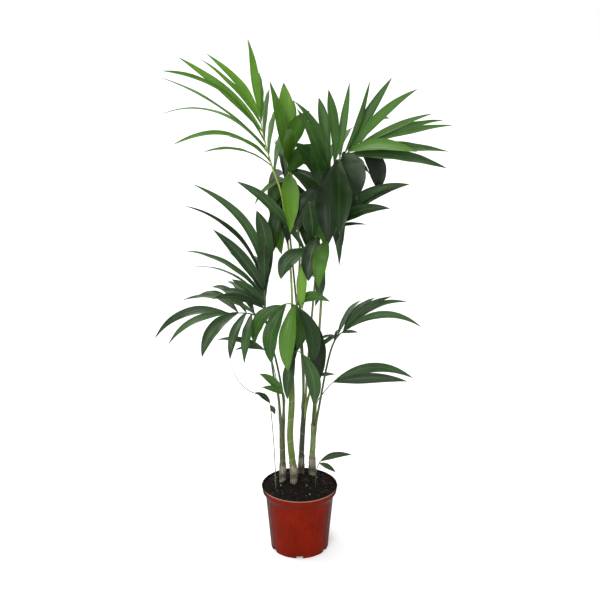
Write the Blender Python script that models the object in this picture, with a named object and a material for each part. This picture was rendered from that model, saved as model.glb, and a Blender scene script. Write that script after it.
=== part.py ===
"""A kentia palm of four young plants in one round nursery pot, as closed solids.

The pot stands on the ground at the origin. X is to the right, Y is away from
the front of the plant and Z is up. Every leaf grows from the top of one of the
four stems: a stalk (petiole), then the part of it that bears leaflets (rachis).
"""

from dataclasses import dataclass
from math import cos, pi, radians, sin, sqrt, tan

import bpy
from mathutils import Vector
from mathutils.bvhtree import BVHTree

# Overall sizes, in metres.
POT_HEIGHT = 0.168
POT_RIM_RADIUS = 0.095
PLANT_SCALE = 1.0  # of every length of the plant above the soil
LEAFLET_WIDTH_SCALE = 1.0
STEM_RADIUS = 0.0078  # at the soil

# The pot, as shares of the rim's radius or in metres.
POT_FOOT_RADIUS = 0.765 * POT_RIM_RADIUS
POT_SHOULDER_RADIUS = 0.895 * POT_RIM_RADIUS
POT_RIM_HEIGHT = 0.017
POT_WALL = 0.002
POT_FLOOR = 0.0025
POT_LIP = 0.0028  # height of the rounded bead along the rim's top
POT_BAND_RADIUS = 0.975 * POT_RIM_RADIUS  # at the foot of the rim's band
POT_FOOT_BEVEL = 0.002
POT_SIDES = 48
DRAIN_COUNT = 6
DRAIN_WIDTH = 0.017
DRAIN_HEIGHT = 0.009
DRAIN_DEPTH = 0.011
DRAIN_ARCH_STEPS = 6

# The soil.
GAP = 0.0003  # between any two pieces that touch
SOIL_BELOW_RIM = 0.004
SOIL_MOUND = 0.020
SOIL_RINGS = 8
SOIL_LUMP = 0.0016
SOIL_SETTLED = 0.0004  # how far the soil has drawn back from the wall
SOIL_OFF_DRAIN = 0.001  # how far it stays from the drainage notches
BAND_RISE = 0.0048  # height above the shoulder at which the rim's band is full
SOCKET_DEPTH = 0.030

# The stems.
STEM_SIDES = 12
STEM_TOP_RATIO = 0.84
CROWN_RADIUS = 0.0048  # on which the stalks stand round a stem's top
CROWN_GAP = 0.0008
SHEATH_WALL = 0.0011
SHEATH_HEIGHT = 0.034

# The leaves.
STALK_RADIUS = 0.0029
RACHIS_TIP_RATIO = 0.40
CELL = 0.006  # length of rachis that one leaflet's foot takes
STALK_STEP = 0.055
STALK_TAPER = 0.15
BLADE_START = 0.004  # where a leaflet's first section stands, from the side of the rachis
SLANT_LEAST = 0.3  # sine of the least angle to the rachis that this start allows for
TUBE_SIDES = 6
MIDRIB = 0.0015  # thickness of a leaflet along its middle
FOLD = 16.0  # degrees that each half of a leaflet rises from flat
FOOT_SHARE = 0.22  # width of a leaflet's foot, as a share of its full width
STATIONS = (0.0, 0.16, 0.34, 0.55, 0.76, 0.91)
CLEARANCE = 0.0012
STALK_SPARE = 0.0014
SPARE_FULL_AT = 0.08  # distance from the crown at which a stalk's spare is whole
OWN_CLEARANCE = 0.0002  # between two leaflets of one leaf
# Turns tried, in degrees (bearing, lean), when a leaflet would touch another piece.
TURNS = (
    (0, 0), (3, 0), (-3, 0), (0, 5), (0, -5), (6, 0), (-6, 0), (0, 10), (0, -10),
    (5, 8), (-5, -8), (5, -8), (-5, 8), (0, 17), (0, -17), (9, 4), (-9, -4),
    (0, 25), (0, -25), (12, 0), (-12, 0), (0, 35), (0, -35),
)
SHORTER = (1.0, 0.86, 0.72, 0.55)
# Steps tried, in metres across and along the view, when a stalk would touch another piece.
SIDESTEPS = (
    (0, 0), (0, 0.006), (0, -0.006), (0.006, 0), (-0.006, 0), (0.006, 0.006),
    (-0.006, -0.006), (0.006, -0.006), (-0.006, 0.006), (0, 0.012), (0, -0.012),
    (0.012, 0), (-0.012, 0), (0, 0.02), (0, -0.02), (0.02, 0.01), (-0.02, 0.01),
)

SOIL_DATUM = 0.164  # height of the soil for which the leaves' heights are given
SOIL_LEVEL = POT_HEIGHT - SOIL_BELOW_RIM
FRONT = Vector((0.0, -1.0, 0.0))
UP = Vector((0.0, 0.0, 1.0))


@dataclass(frozen=True)
class Finish:
    """A Principled material's main values."""

    name: str
    color: tuple
    roughness: float


@dataclass(frozen=True)
class Leaflet:
    """One blade. Its bearing is in the upright plane facing the front: 0 right, 90 up."""

    at: float  # share of the rachis
    bearing: float  # degrees
    length: float  # from foot to tip
    width: float
    lean: float = 0.0  # degrees toward the front
    bow: float = 0.07  # height of its arch as a share of its length
    face: float = 25.0  # degrees from facing the front to facing up
    belly: float = 0.45  # where it is widest


@dataclass(frozen=True)
class Frond:
    """One whole leaf: its stalk's points from the crown, and its leaflets."""

    name: str
    stem: str
    slot: float  # degrees round the stem's top
    points: tuple
    rachis_from: int  # the point at which the rachis begins
    leaflets: tuple
    upper: tuple = (0.0, -1.0, 0.2)  # the way its upper side faces
    radius: float = STALK_RADIUS
    finish: str = "leaf"


@dataclass(frozen=True)
class Stem:
    """One upright stem made of old leaf bases."""

    name: str
    points: tuple
    radius: float = STEM_RADIUS


POT_FINISH = Finish("pot_plastic", (0.205, 0.020, 0.006), 0.42)
SOIL_FINISH = Finish("potting_soil", (0.012, 0.008, 0.006), 0.95)
STEM_FINISH = Finish("green_stem", (0.110, 0.190, 0.035), 0.50)
SHEATH_FINISH = Finish("dry_sheath", (0.200, 0.150, 0.095), 0.85)
LEAF_FINISHES = {
    "leaf": Finish("leaf_green", (0.035, 0.130, 0.022), 0.38),
    "bright": Finish("leaf_bright", (0.110, 0.260, 0.020), 0.40),
    "dark": Finish("leaf_dark", (0.012, 0.050, 0.016), 0.36),
}

STEMS = (
    Stem("stem_left", ((-0.0420, 0.000, 0.225), (-0.0430, 0.000, 0.290), (-0.0430, 0.001, 0.342))),
    Stem(
        "stem_front",
        (
            (-0.0145, -0.017, 0.215),
            (-0.0230, -0.017, 0.300),
            (-0.0190, -0.016, 0.400),
            (-0.0210, -0.012, 0.494),
        ),
        1.06 * STEM_RADIUS,
    ),
    Stem(
        "stem_back",
        ((0.0045, 0.040, 0.225), (0.0075, 0.040, 0.290), (0.0120, 0.038, 0.360)),
        0.92 * STEM_RADIUS,
    ),
    Stem("stem_right", ((0.0320, 0.033, 0.225), (0.0340, 0.033, 0.265), (0.0350, 0.033, 0.305))),
)


def ramp(start, end, count):
    """Evenly spaced values from start to end."""
    return [start + (end - start) * i / (count - 1) for i in range(count)]


def spread(ats, bearings, leans, lengths, width, bow=0.12, face=55.0):
    """Leaflets whose values run evenly from one end of each pair to the other."""
    count = len(ats)
    rows = zip(ats, ramp(*bearings, count), ramp(*leans, count), ramp(*lengths, count))
    return tuple(Leaflet(at, b, size, width, lean, bow, face) for at, b, lean, size in rows)


UPPER_LEFT = Frond(
    "frond_upper_left", "stem_front", 190,
    (
        (-0.021, -0.004, 0.560), (-0.018, 0.000, 0.649), (-0.023, 0.000, 0.747), (-0.033, 0.000, 0.831),
        (-0.041, 0.000, 0.901), (-0.064, 0.000, 0.970), (-0.082, 0.000, 1.038), (-0.092, 0.000, 1.100),
    ),
    4,
    (
        Leaflet(0.93, 98, 0.170, 0.019, 10, 0.02, 10),
        Leaflet(0.87, 123, 0.194, 0.018, 5, 0.07, 25, 0.40),
        Leaflet(0.81, 134, 0.212, 0.020, -10, 0.05, 72, 0.50),
        Leaflet(0.74, 138, 0.254, 0.021, -2, 0.05, 25, 0.42),
        Leaflet(0.62, 143, 0.288, 0.020, 15, 0.13, 70, 0.72),
        Leaflet(0.54, 148, 0.310, 0.020, -15, 0.06, 72, 0.66),
        Leaflet(0.47, 163, 0.300, 0.018, -25, 0.16, 76, 0.60),
        Leaflet(0.40, 167, 0.232, 0.016, 20, 0.18, 74, 0.60),
        Leaflet(0.33, 164, 0.172, 0.015, 25, 0.12, 78, 0.55),
        Leaflet(0.36, 148, 0.118, 0.013, -5, 0.11, 60, 0.55),
    )
    + spread((0.25, 0.45, 0.65, 0.85), (70, 95), (-66, -50), (0.22, 0.17), 0.022),
    finish="bright",
)

CENTRE_TOP = Frond(
    "frond_centre_top", "stem_front", 90,
    (
        (-0.010, 0.012, 0.580), (-0.002, 0.038, 0.690), (0.000, 0.050, 0.770), (-0.009, 0.050, 0.845),
        (-0.020, 0.050, 0.905), (-0.026, 0.050, 0.955), (-0.030, 0.050, 1.010),
    ),
    4,
    (
        Leaflet(0.62, 102, 0.200, 0.023, 2, 0.03, 10, 0.40),
        Leaflet(0.75, 93, 0.172, 0.038, -2, 0.03, 10, 0.50),
        Leaflet(0.94, 82, 0.130, 0.030, -34, 0.06, 12, 0.45),
        Leaflet(0.50, 92, 0.190, 0.040, 58, 0.10, 60, 0.50),
        Leaflet(0.80, 64, 0.120, 0.036, 10, 0.06, 15, 0.48),
        Leaflet(0.40, 52, 0.118, 0.036, 24, 0.08, 20, 0.48),
        Leaflet(0.30, -95, 0.150, 0.038, 38, 0.22, 20, 0.45),
        Leaflet(0.14, -126, 0.080, 0.024, 20, 0.20, 30, 0.45),
        Leaflet(0.20, -148, 0.105, 0.014, 22, 0.16, 60, 0.50),
        Leaflet(0.03, -98, 0.165, 0.036, -6, 0.12, 20, 0.52),
        Leaflet(0.68, -34, 0.120, 0.036, 24, 0.26, 30, 0.50),
        Leaflet(0.40, -60, 0.150, 0.038, 36, 0.24, 25, 0.50),
        Leaflet(0.12, -74, 0.165, 0.038, 44, 0.18, 20, 0.50),
    )
    + spread((0.15, 0.40, 0.65, 0.88), (60, 88), (-70, -58), (0.19, 0.16), 0.024),
    finish="bright",
)

UPPER_RIGHT = Frond(
    "frond_upper_right", "stem_back", 290,
    (
        (0.020, 0.026, 0.480), (0.032, 0.006, 0.640), (0.040, 0.000, 0.735), (0.047, 0.000, 0.819),
        (0.050, 0.000, 0.889), (0.060, 0.000, 0.940), (0.082, 0.000, 0.975), (0.112, 0.000, 1.000),
        (0.150, 0.000, 1.024),
    ),
    4,
    (
        Leaflet(0.30, 113, 0.194, 0.022, -2, 0.13, 15, 0.40),
        Leaflet(0.22, 110, 0.196, 0.024, 16, 0.08, 15, 0.40),
        Leaflet(0.40, 99, 0.174, 0.024, -6, 0.03, 10, 0.66),
        Leaflet(0.49, 95, 0.172, 0.023, 2, 0.04, 10, 0.64),
        Leaflet(0.14, 121, 0.150, 0.036, 10, 0.10, 20, 0.46),
        Leaflet(0.08, 103, 0.150, 0.034, 24, 0.08, 20, 0.48),
        Leaflet(0.60, 83, 0.178, 0.018, -10, 0.02, 12, 0.45),
        Leaflet(0.68, 72, 0.180, 0.014, 0, -0.04, 30, 0.45),
        Leaflet(0.74, 60, 0.196, 0.023, 0, 0.02, 15, 0.45),
        Leaflet(0.81, 45, 0.200, 0.022, 5, 0.06, 20, 0.45),
        Leaflet(0.88, 24, 0.187, 0.016, -5, 0.03, 35, 0.45),
        Leaflet(0.93, 15, 0.212, 0.018, -15, 0.04, 35, 0.45),
        Leaflet(0.97, 12, 0.210, 0.019, 10, 0.02, 35, 0.45),
        Leaflet(0.84, 1, 0.216, 0.024, 20, 0.02, 35, 0.40),
        Leaflet(0.76, 6, 0.176, 0.030, 34, 0.08, 35, 0.40),
        Leaflet(0.64, -1, 0.256, 0.025, 30, 0.06, 35, 0.45),
        Leaflet(0.71, -40, 0.072, 0.014, 10, 0.06, 50, 0.45),
        Leaflet(0.84, -64, 0.110, 0.036, 40, 0.16, 25, 0.50),
        Leaflet(0.70, -78, 0.160, 0.044, 34, 0.16, 25, 0.50),
        Leaflet(0.57, -90, 0.190, 0.046, 40, 0.15, 25, 0.50),
        Leaflet(0.44, -99, 0.180, 0.046, 32, 0.14, 25, 0.50),
        Leaflet(0.30, -110, 0.165, 0.044, 24, 0.13, 25, 0.50),
        Leaflet(0.17, -122, 0.120, 0.038, 16, 0.13, 25, 0.50),
    )
    + spread((0.25, 0.50, 0.75, 0.92), (60, 30), (-64, -56), (0.20, 0.17), 0.024),
    (-0.2, -0.55, 0.6),
)

CENTRE_MIDDLE = Frond(
    "frond_centre_middle", "stem_back", 200,
    (
        (0.010, 0.012, 0.450), (0.004, -0.018, 0.581), (0.000, -0.022, 0.679), (0.009, -0.022, 0.752),
        (0.033, -0.022, 0.799), (0.066, -0.022, 0.826), (0.096, -0.022, 0.836),
    ),
    3,
    (
        Leaflet(0.96, 31, 0.192, 0.030, 0, 0.12, 25, 0.38),
        Leaflet(0.84, 24, 0.150, 0.024, 22, 0.10, 25, 0.40),
        Leaflet(0.90, 40, 0.166, 0.020, 11, 0.09, 30, 0.40),
        Leaflet(0.75, 10, 0.095, 0.009, 8, 0.06, 40, 0.40),
        Leaflet(0.12, 133, 0.236, 0.021, -2, 0.08, 25, 0.62),
        Leaflet(0.42, 96, 0.125, 0.040, 26, 0.05, 20, 0.50),
        Leaflet(0.70, 84, 0.120, 0.040, 22, 0.05, 20, 0.50),
        Leaflet(0.50, -104, 0.112, 0.036, 38, 0.16, 20, 0.50),
        Leaflet(0.62, -96, 0.105, 0.030, 20, 0.20, 20, 0.48),
        Leaflet(0.22, -84, 0.138, 0.024, 33, 0.14, 20, 0.48),
        Leaflet(0.30, -124, 0.120, 0.040, 34, 0.22, 25, 0.50),
        Leaflet(0.08, -140, 0.088, 0.034, 16, 0.20, 25, 0.50),
    ),
    (-0.3, -0.6, 0.7),
    finish="dark",
)

MIDDLE_LEFT = Frond(
    "frond_middle_left", "stem_left", 40,
    (
        (-0.040, 0.006, 0.395), (-0.052, 0.006, 0.470), (-0.067, 0.000, 0.540), (-0.078, -0.008, 0.590),
        (-0.082, -0.010, 0.645), (-0.084, -0.010, 0.712),
    ),
    3,
    (
        Leaflet(0.84, 127, 0.292, 0.022, 0, 0.16, 25, 0.42),
        Leaflet(0.77, 129, 0.290, 0.016, 18, 0.13, 60, 0.45),
        Leaflet(0.70, 120, 0.200, 0.027, 9, 0.05, 20, 0.45),
        Leaflet(0.80, 95, 0.186, 0.034, 10, 0.08, 15, 0.70),
        Leaflet(0.73, 88, 0.150, 0.030, 24, 0.08, 20, 0.60),
        Leaflet(0.66, 98, 0.112, 0.020, -8, 0.04, 20, 0.50),
        Leaflet(0.54, 149, 0.226, 0.016, -5, 0.12, 60, 0.45),
        Leaflet(0.60, 130, 0.148, 0.008, -14, 0.04, 60, 0.45),
        Leaflet(0.47, 161, 0.218, 0.012, -20, 0.14, 74, 0.45),
        Leaflet(0.40, 139, 0.104, 0.020, 10, 0.06, 30, 0.55),
        Leaflet(0.30, 162, 0.137, 0.020, 20, 0.11, 35, 0.55),
        Leaflet(0.34, 159, 0.113, 0.016, 5, 0.09, 40, 0.55),
    )
    + spread((0.30, 0.52, 0.74, 0.92), (150, 118), (-76, -66), (0.18, 0.16), 0.022)
    + spread((0.42, 0.66), (80, 95), (-62, -66), (0.13, 0.13), 0.020),
    finish="dark",
)

LOWER_LEFT = Frond(
    "frond_lower_left", "stem_left", 160,
    (
        (-0.052, -0.012, 0.409), (-0.063, -0.022, 0.470), (-0.070, -0.030, 0.540), (-0.078, -0.030, 0.600),
        (-0.106, -0.030, 0.621), (-0.141, -0.030, 0.626), (-0.172, -0.030, 0.620),
    ),
    3,
    (
        Leaflet(0.93, -162, 0.192, 0.022, 0, 0.19, 35, 0.45),
        Leaflet(0.97, -158, 0.164, 0.018, 14, 0.16, 40, 0.45),
        Leaflet(0.87, -155, 0.164, 0.016, -14, 0.12, 50, 0.45),
        Leaflet(0.76, -133, 0.134, 0.030, 25, 0.18, 25, 0.50),
        Leaflet(0.56, -112, 0.118, 0.024, 36, 0.16, 25, 0.50),
        Leaflet(0.38, -99, 0.120, 0.024, 36, 0.14, 25, 0.50),
        Leaflet(0.26, 171, 0.190, 0.018, -12, 0.14, 55, 0.45),
    )
    + spread((0.35, 0.55, 0.75), (150, 175), (-58, -50), (0.17, 0.17), 0.022),
    (-0.1, -0.4, 1.0),
    finish="dark",
)

LOWER_RIGHT = Frond(
    "frond_lower_right", "stem_right", 318,
    (
        (0.051, 0.030, 0.380), (0.066, 0.030, 0.467), (0.080, 0.030, 0.524), (0.097, 0.030, 0.553),
        (0.124, 0.030, 0.571),
    ),
    2,
    (
        Leaflet(0.74, 39, 0.150, 0.018, 2, 0.10, 30, 0.45),
        Leaflet(0.90, 23, 0.164, 0.016, -10, 0.15, 35, 0.45),
        Leaflet(0.96, 6, 0.182, 0.018, 12, 0.19, 30, 0.45),
        Leaflet(0.62, 12, 0.045, 0.009, 22, 0.06, 40, 0.45),
        Leaflet(0.46, -144, 0.066, 0.012, 6, 0.10, 40, 0.50),
        Leaflet(0.36, 176, 0.076, 0.008, 24, 0.10, 60, 0.50),
        Leaflet(0.06, 82, 0.075, 0.008, 10, 0.06, 40, 0.50),
    )
    + spread((0.45, 0.66, 0.84), (46, 24), (-48, -38), (0.14, 0.15), 0.018),
    (-0.4, -0.7, 0.6),
    finish="dark",
)

CENTRE_LOW = Frond(
    "frond_centre_low", "stem_back", 20,
    (
        (0.016, 0.020, 0.450), (0.013, -0.002, 0.550), (0.004, -0.028, 0.628), (-0.022, -0.042, 0.652),
        (-0.054, -0.046, 0.645),
    ),
    2,
    (
        Leaflet(0.12, -78, 0.138, 0.030, 4, 0.14, 20, 0.48),
        Leaflet(0.32, -96, 0.150, 0.034, 14, 0.14, 20, 0.48),
        Leaflet(0.50, -86, 0.118, 0.030, -4, 0.14, 20, 0.48),
        Leaflet(0.68, -104, 0.140, 0.032, 12, 0.16, 20, 0.48),
        Leaflet(0.88, -124, 0.110, 0.028, 6, 0.20, 30, 0.48),
        Leaflet(0.25, 20, 0.090, 0.020, 24, 0.22, 30, 0.48),
    ),
    (0.1, -0.5, 0.9),
)

CENTRE_RIGHT = Frond(
    "frond_centre_right", "stem_right", 30,
    (
        (0.041, 0.036, 0.420), (0.047, 0.030, 0.560), (0.052, 0.012, 0.680), (0.053, -0.010, 0.752),
        (0.058, -0.030, 0.790), (0.072, -0.044, 0.808),
    ),
    3,
    (
        Leaflet(0.40, -108, 0.112, 0.036, 22, 0.20, 20, 0.50),
        Leaflet(0.75, -104, 0.120, 0.036, 8, 0.20, 20, 0.50),
        Leaflet(0.92, -100, 0.070, 0.028, 26, 0.22, 20, 0.50),
        Leaflet(0.30, 116, 0.120, 0.036, 14, 0.05, 25, 0.48),
        Leaflet(0.60, 98, 0.130, 0.040, 6, 0.04, 25, 0.48),
        Leaflet(0.88, 62, 0.105, 0.032, 12, 0.10, 30, 0.48),
    ),
    (-0.2, -0.5, 0.8),
    finish="bright",
)

BACK_LEFT = Frond(
    "frond_back_left", "stem_back", 110,
    (
        (0.006, 0.052, 0.480), (-0.006, 0.078, 0.600), (-0.018, 0.108, 0.720), (-0.026, 0.142, 0.800),
        (-0.030, 0.186, 0.862), (-0.034, 0.232, 0.900), (-0.036, 0.276, 0.918),
    ),
    3,
    spread((0.20, 0.36, 0.52, 0.68, 0.82, 0.95), (96, 118), (-38, -62), (0.17, 0.19), 0.024)
    + spread((0.26, 0.44, 0.60, 0.76, 0.90), (-104, -118), (-34, -52), (0.16, 0.18), 0.024, 0.2, 30.0),
    (-0.8, 0.0, 0.6),
    finish="dark",
)

BACK_RIGHT = Frond(
    "frond_back_right", "stem_right", 102,
    (
        (0.040, 0.050, 0.420), (0.050, 0.074, 0.560), (0.058, 0.100, 0.680), (0.066, 0.134, 0.762),
        (0.074, 0.180, 0.818), (0.082, 0.228, 0.846), (0.088, 0.272, 0.852),
    ),
    3,
    spread((0.20, 0.36, 0.52, 0.68, 0.82, 0.95), (84, 62), (-36, -60), (0.17, 0.19), 0.024)
    + spread((0.26, 0.44, 0.60, 0.76, 0.90), (-76, -70), (-34, -50), (0.16, 0.18), 0.024, 0.2, 30.0),
    (0.8, 0.0, 0.6),
    finish="dark",
)

BIFID_LEAF = Frond(
    "young_leaf_forked", "stem_right", 246,
    ((0.041, 0.014, 0.376), (0.056, 0.004, 0.408), (0.075, 0.000, 0.434), (0.090, 0.000, 0.447)),
    2,
    (
        Leaflet(0.80, 2, 0.198, 0.024, -4, 0.165, 28, 0.45),
        Leaflet(0.55, 6, 0.182, 0.026, 12, 0.05, 22, 0.42),
    ),
    (-0.2, -0.5, 0.8),
    0.0014,
    "dark",
)

SIDE_LEAF = Frond(
    "young_leaf_side", "stem_left", 250,
    (
        (-0.050, -0.026, 0.420), (-0.060, -0.046, 0.490), (-0.071, -0.050, 0.530), (-0.090, -0.050, 0.545),
    ),
    2,
    (
        Leaflet(0.80, 166, 0.116, 0.016, 0, 0.10, 45, 0.40),
        Leaflet(0.50, -176, 0.075, 0.012, -12, 0.12, 45, 0.45),
    ),
    (0.2, -0.5, 0.8),
    0.0014,
    "dark",
)

FRONT_LEAF = Frond(
    "young_leaf_front", "stem_left", 320,
    (
        (-0.037, -0.016, 0.372), (-0.035, -0.040, 0.410), (-0.038, -0.056, 0.434), (-0.048, -0.060, 0.446),
    ),
    1,
    (
        Leaflet(0.78, 140, 0.072, 0.020, 0, 0.08, 25, 0.45),
        Leaflet(0.52, 150, 0.062, 0.016, 16, 0.10, 25, 0.45),
    ),
    (0.3, -0.7, 0.6),
    0.0014,
    "leaf",
)

STUB_LEAF = Frond(
    "young_leaf_stub", "stem_right", 174,
    ((0.034, 0.020, 0.380), (0.034, 0.008, 0.440), (0.043, 0.000, 0.463)),
    1,
    (
        Leaflet(0.90, 8, 0.048, 0.010, 0, 0.04, 45, 0.45),
        Leaflet(0.60, 60, 0.050, 0.010, -20, 0.04, 45, 0.45),
    ),
    (-0.2, -0.6, 0.7),
    0.0014,
    "dark",
)

HANGING_LEAF = Frond(
    "young_leaf_hanging", "stem_front", 278,
    ((-0.020, -0.023, 0.514), (-0.006, -0.040, 0.535), (0.014, -0.048, 0.524)),
    0,
    (
        Leaflet(0.95, -78, 0.130, 0.034, 2, 0.10, 10, 0.48),
        Leaflet(0.40, -100, 0.112, 0.028, 14, 0.10, 10, 0.48),
    ),
    (0.3, -0.6, 0.7),
    0.0015,
    "dark",
)

SOIL_SEEDLING_LOW = Frond(
    "seedling_low", "", 0,
    ((0.0395, -0.030, 0.190), (0.042, -0.030, 0.222), (0.050, -0.030, 0.243), (0.060, -0.030, 0.250)),
    1,
    (
        Leaflet(0.80, 14, 0.080, 0.016, 0, 0.10, 35, 0.42),
        Leaflet(0.50, -26, 0.046, 0.013, 8, 0.08, 35, 0.42),
    ),
    (-0.3, -0.5, 0.8),
    0.0011,
    "dark",
)

SOIL_SEEDLING_LEFT = Frond(
    "seedling_left", "", 0,
    ((-0.0590, -0.030, 0.190), (-0.062, -0.030, 0.270), (-0.067, -0.030, 0.350), (-0.073, -0.030, 0.408)),
    2,
    (
        Leaflet(0.92, 142, 0.046, 0.014, 0, 0.10, 35, 0.45),
        Leaflet(0.80, -60, 0.024, 0.012, 20, 0.10, 25, 0.45),
    ),
    (0.3, -0.6, 0.7),
    0.0011,
    "dark",
)

FRONDS = (
    UPPER_LEFT, UPPER_RIGHT, CENTRE_TOP, CENTRE_MIDDLE, MIDDLE_LEFT, LOWER_LEFT, LOWER_RIGHT,
    CENTRE_RIGHT, CENTRE_LOW, BACK_LEFT, BACK_RIGHT, BIFID_LEAF, SIDE_LEAF, FRONT_LEAF,
    STUB_LEAF, HANGING_LEAF, SOIL_SEEDLING_LOW, SOIL_SEEDLING_LEFT,
)


def grown(point):
    """A point of the plant, given for the nominal size, at the size it is built."""
    x, y, z = point
    return Vector((x * PLANT_SCALE, y * PLANT_SCALE, SOIL_LEVEL + (z - SOIL_DATUM) * PLANT_SCALE))


def smooth_path(points, step):
    """A curve through the points, sampled about every step, and the index of each point in it."""
    ends = [2 * points[0] - points[1]] + list(points) + [2 * points[-1] - points[-2]]
    path = []
    marks = []
    for i in range(1, len(ends) - 2):
        a, b, c, d = ends[i - 1 : i + 3]
        marks.append(len(path))
        count = max(1, round((c - b).length / step))
        for j in range(count):
            t = j / count
            square = (2 * a - 5 * b + 4 * c - d) * t**2
            cube = (3 * b - a - 3 * c + d) * t**3
            path.append((2 * b + (c - a) * t + square + cube) / 2)
    marks.append(len(path))
    path.append(points[-1].copy())
    return path, marks


def lengths_along(path):
    """The distance of each point of a path from its start."""
    total = [0.0]
    for a, b in zip(path, path[1:]):
        total.append(total[-1] + (b - a).length)
    return total


def point_along(path, totals, distance):
    """The point and the direction at a distance along a path."""
    distance = min(max(distance, 0.0), totals[-1])
    i = 0
    while i < len(path) - 2 and totals[i + 1] < distance:
        i += 1
    share = (distance - totals[i]) / (totals[i + 1] - totals[i])
    return path[i].lerp(path[i + 1], share), (path[i + 1] - path[i]).normalized()


def tangents_of(path):
    """The direction at each point of a path."""
    last = len(path) - 1
    return [(path[min(i + 1, last)] - path[max(i - 1, 0)]).normalized() for i in range(last + 1)]


def tube_rings(path, radii, upper, sides):
    """Rings of points round a path, with the upper direction carried along it from its end."""
    tangents = tangents_of(path)
    normal = Vector(upper)
    rings = []
    for i in range(len(path) - 1, -1, -1):
        along = tangents[i]
        normal = (normal - along * normal.dot(along)).normalized()
        side = normal.cross(along)
        ring = []
        for k in range(sides):
            turn = 2 * pi * (k - 0.5) / sides
            ring.append(path[i] + radii[i] * (cos(turn) * side + sin(turn) * normal))
        rings.append(ring)
    rings.reverse()
    return rings


class Shell:
    """The points and faces of one closed body."""

    def __init__(self):
        self.points = []
        self.faces = []

    def add(self, points):
        """Takes the points in and gives their indices."""
        first = len(self.points)
        self.points.extend(points)
        return list(range(first, len(self.points)))

    def band(self, low, high, skip=()):
        """Joins two loops of as many points by quads, leaving out the sides in skip."""
        count = len(low)
        for k in range(count):
            if k not in skip:
                after = (k + 1) % count
                self.faces.append((low[k], low[after], high[after], high[k]))

    def close_tip(self, loop, tip):
        """Joins a loop to a single point."""
        (end,) = self.add([tip])
        count = len(loop)
        for k in range(count):
            self.faces.append((loop[k], loop[(k + 1) % count], end))


def blade_direction(bearing, lean):
    """The direction of a bearing and a lean, both in degrees."""
    b, s = radians(bearing), radians(lean)
    return Vector((cos(b) * cos(s), -sin(s), sin(b) * cos(s)))


def leaf_width(share, belly, width):
    """The width of a leaflet at a share of its length."""
    if share < belly:
        rise = sin(0.5 * pi * share / belly)
        return width * (FOOT_SHARE + (1 - FOOT_SHARE) * rise**1.3)
    fall = (share - belly) / (1 - belly)
    return width * (1 - fall**2.1)


class Blade:
    """A leaflet laid out in space: its curve, its width and the way it faces."""

    def __init__(self, foot, leaflet, turn=(0, 0), share=1.0):
        chord = blade_direction(leaflet.bearing + turn[0], leaflet.lean + turn[1])
        length = leaflet.length * PLANT_SCALE * share
        rise = UP - chord * chord.z
        if rise.length < 0.05:
            rise = -FRONT
        self.foot = foot
        self.tip = foot + chord * length
        self.bend = (foot + self.tip) / 2 + rise.normalized() * (2 * leaflet.bow * length)
        self.length = length
        self.leaflet = leaflet
        self.width = leaflet.width * LEAFLET_WIDTH_SCALE * PLANT_SCALE * sqrt(share)
        self.upper = self.facing()

    def facing(self):
        """The way its upper side faces at the middle of its length."""
        _, along = self.at(0.5)
        front = FRONT - along * along.dot(FRONT)
        if front.length < 0.25:
            front = UP - along * along.dot(UP)
        front.normalize()
        rising = along.cross(front)
        if rising.z < 0:
            rising = -rising
        turn = radians(self.leaflet.face)
        return cos(turn) * front + sin(turn) * rising

    def at(self, share):
        """The middle point and the direction at a share of the length."""
        rest = 1 - share
        point = rest * rest * self.foot + 2 * rest * share * self.bend + share * share * self.tip
        along = rest * (self.bend - self.foot) + share * (self.tip - self.bend)
        return point, along.normalized()

    def section(self, share, spare=0.0):
        """The four corners of the blade at a share of its length: edge, top, edge, bottom."""
        point, along = self.at(share)
        normal = (self.upper - along * along.dot(self.upper)).normalized()
        across = along.cross(normal)
        half = leaf_width(share, self.leaflet.belly, self.width) / 2 + spare
        rise = normal * (half * tan(radians(FOLD)))
        rib = normal * (MIDRIB * (1 - 0.6 * share) / 2 + spare)
        if spare:
            rise = rise + normal * spare
            rib = rib + rise / 2
            return [point - across * half + rise, point + rib, point + across * half + rise, point - rib]
        return [point - across * half + rise, point + rib, point + across * half + rise, point - rib]

    def start(self, along, radius):
        """The share of its length at which it stands clear of a rachis that runs along a direction."""
        slant = max(SLANT_LEAST, sin(along.angle(self.at(0.0)[1])))
        return (radius + BLADE_START) / slant / self.length

    def guard(self, spare, start):
        """A closed body round the blade from a share of its length, wider all round, to test with."""
        shell = Shell()
        shares = [start] + [s for s in STATIONS if s > start]
        loops = [shell.add(self.section(s, spare)) for s in shares]
        for low, high in zip(loops, loops[1:]):
            shell.band(low, high)
        shell.close_tip(loops[-1], self.tip)
        return shell


def tree_of(shell):
    """A search tree over a body's faces."""
    return BVHTree.FromPolygons(shell.points, shell.faces)


class Room:
    """What has been placed so far, so that nothing else is grown through it.

    A body belongs to a leaf or, with no name, to none. Beside its whole shape it may
    have an inner one, the part of it that may not touch the same leaf's other parts.
    """

    def __init__(self):
        self.bodies = []

    def take(self, shell, owner="", inner=None):
        """Adds a body."""
        self.bodies.append((owner, tree_of(shell), inner and tree_of(inner)))

    def free(self, shell, owner=None, inner=None):
        """Whether a body touches nothing that has been placed, its inner part nothing of its owner's."""
        tree = tree_of(shell)
        inner_tree = inner and tree_of(inner)
        for name, whole, part in self.bodies:
            if name != owner and tree.overlap(whole):
                return False
            if name == owner and part and inner_tree and inner_tree.overlap(part):
                return False
        return True


def tube_shell(path, radii, upper, sides):
    """A closed tube."""
    shell = Shell()
    loops = [shell.add(ring) for ring in tube_rings(path, radii, upper, sides)]
    for low, high in zip(loops, loops[1:]):
        shell.band(low, high)
    shell.faces.append(tuple(reversed(loops[0])))
    shell.faces.append(tuple(loops[-1]))
    return shell


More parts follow.
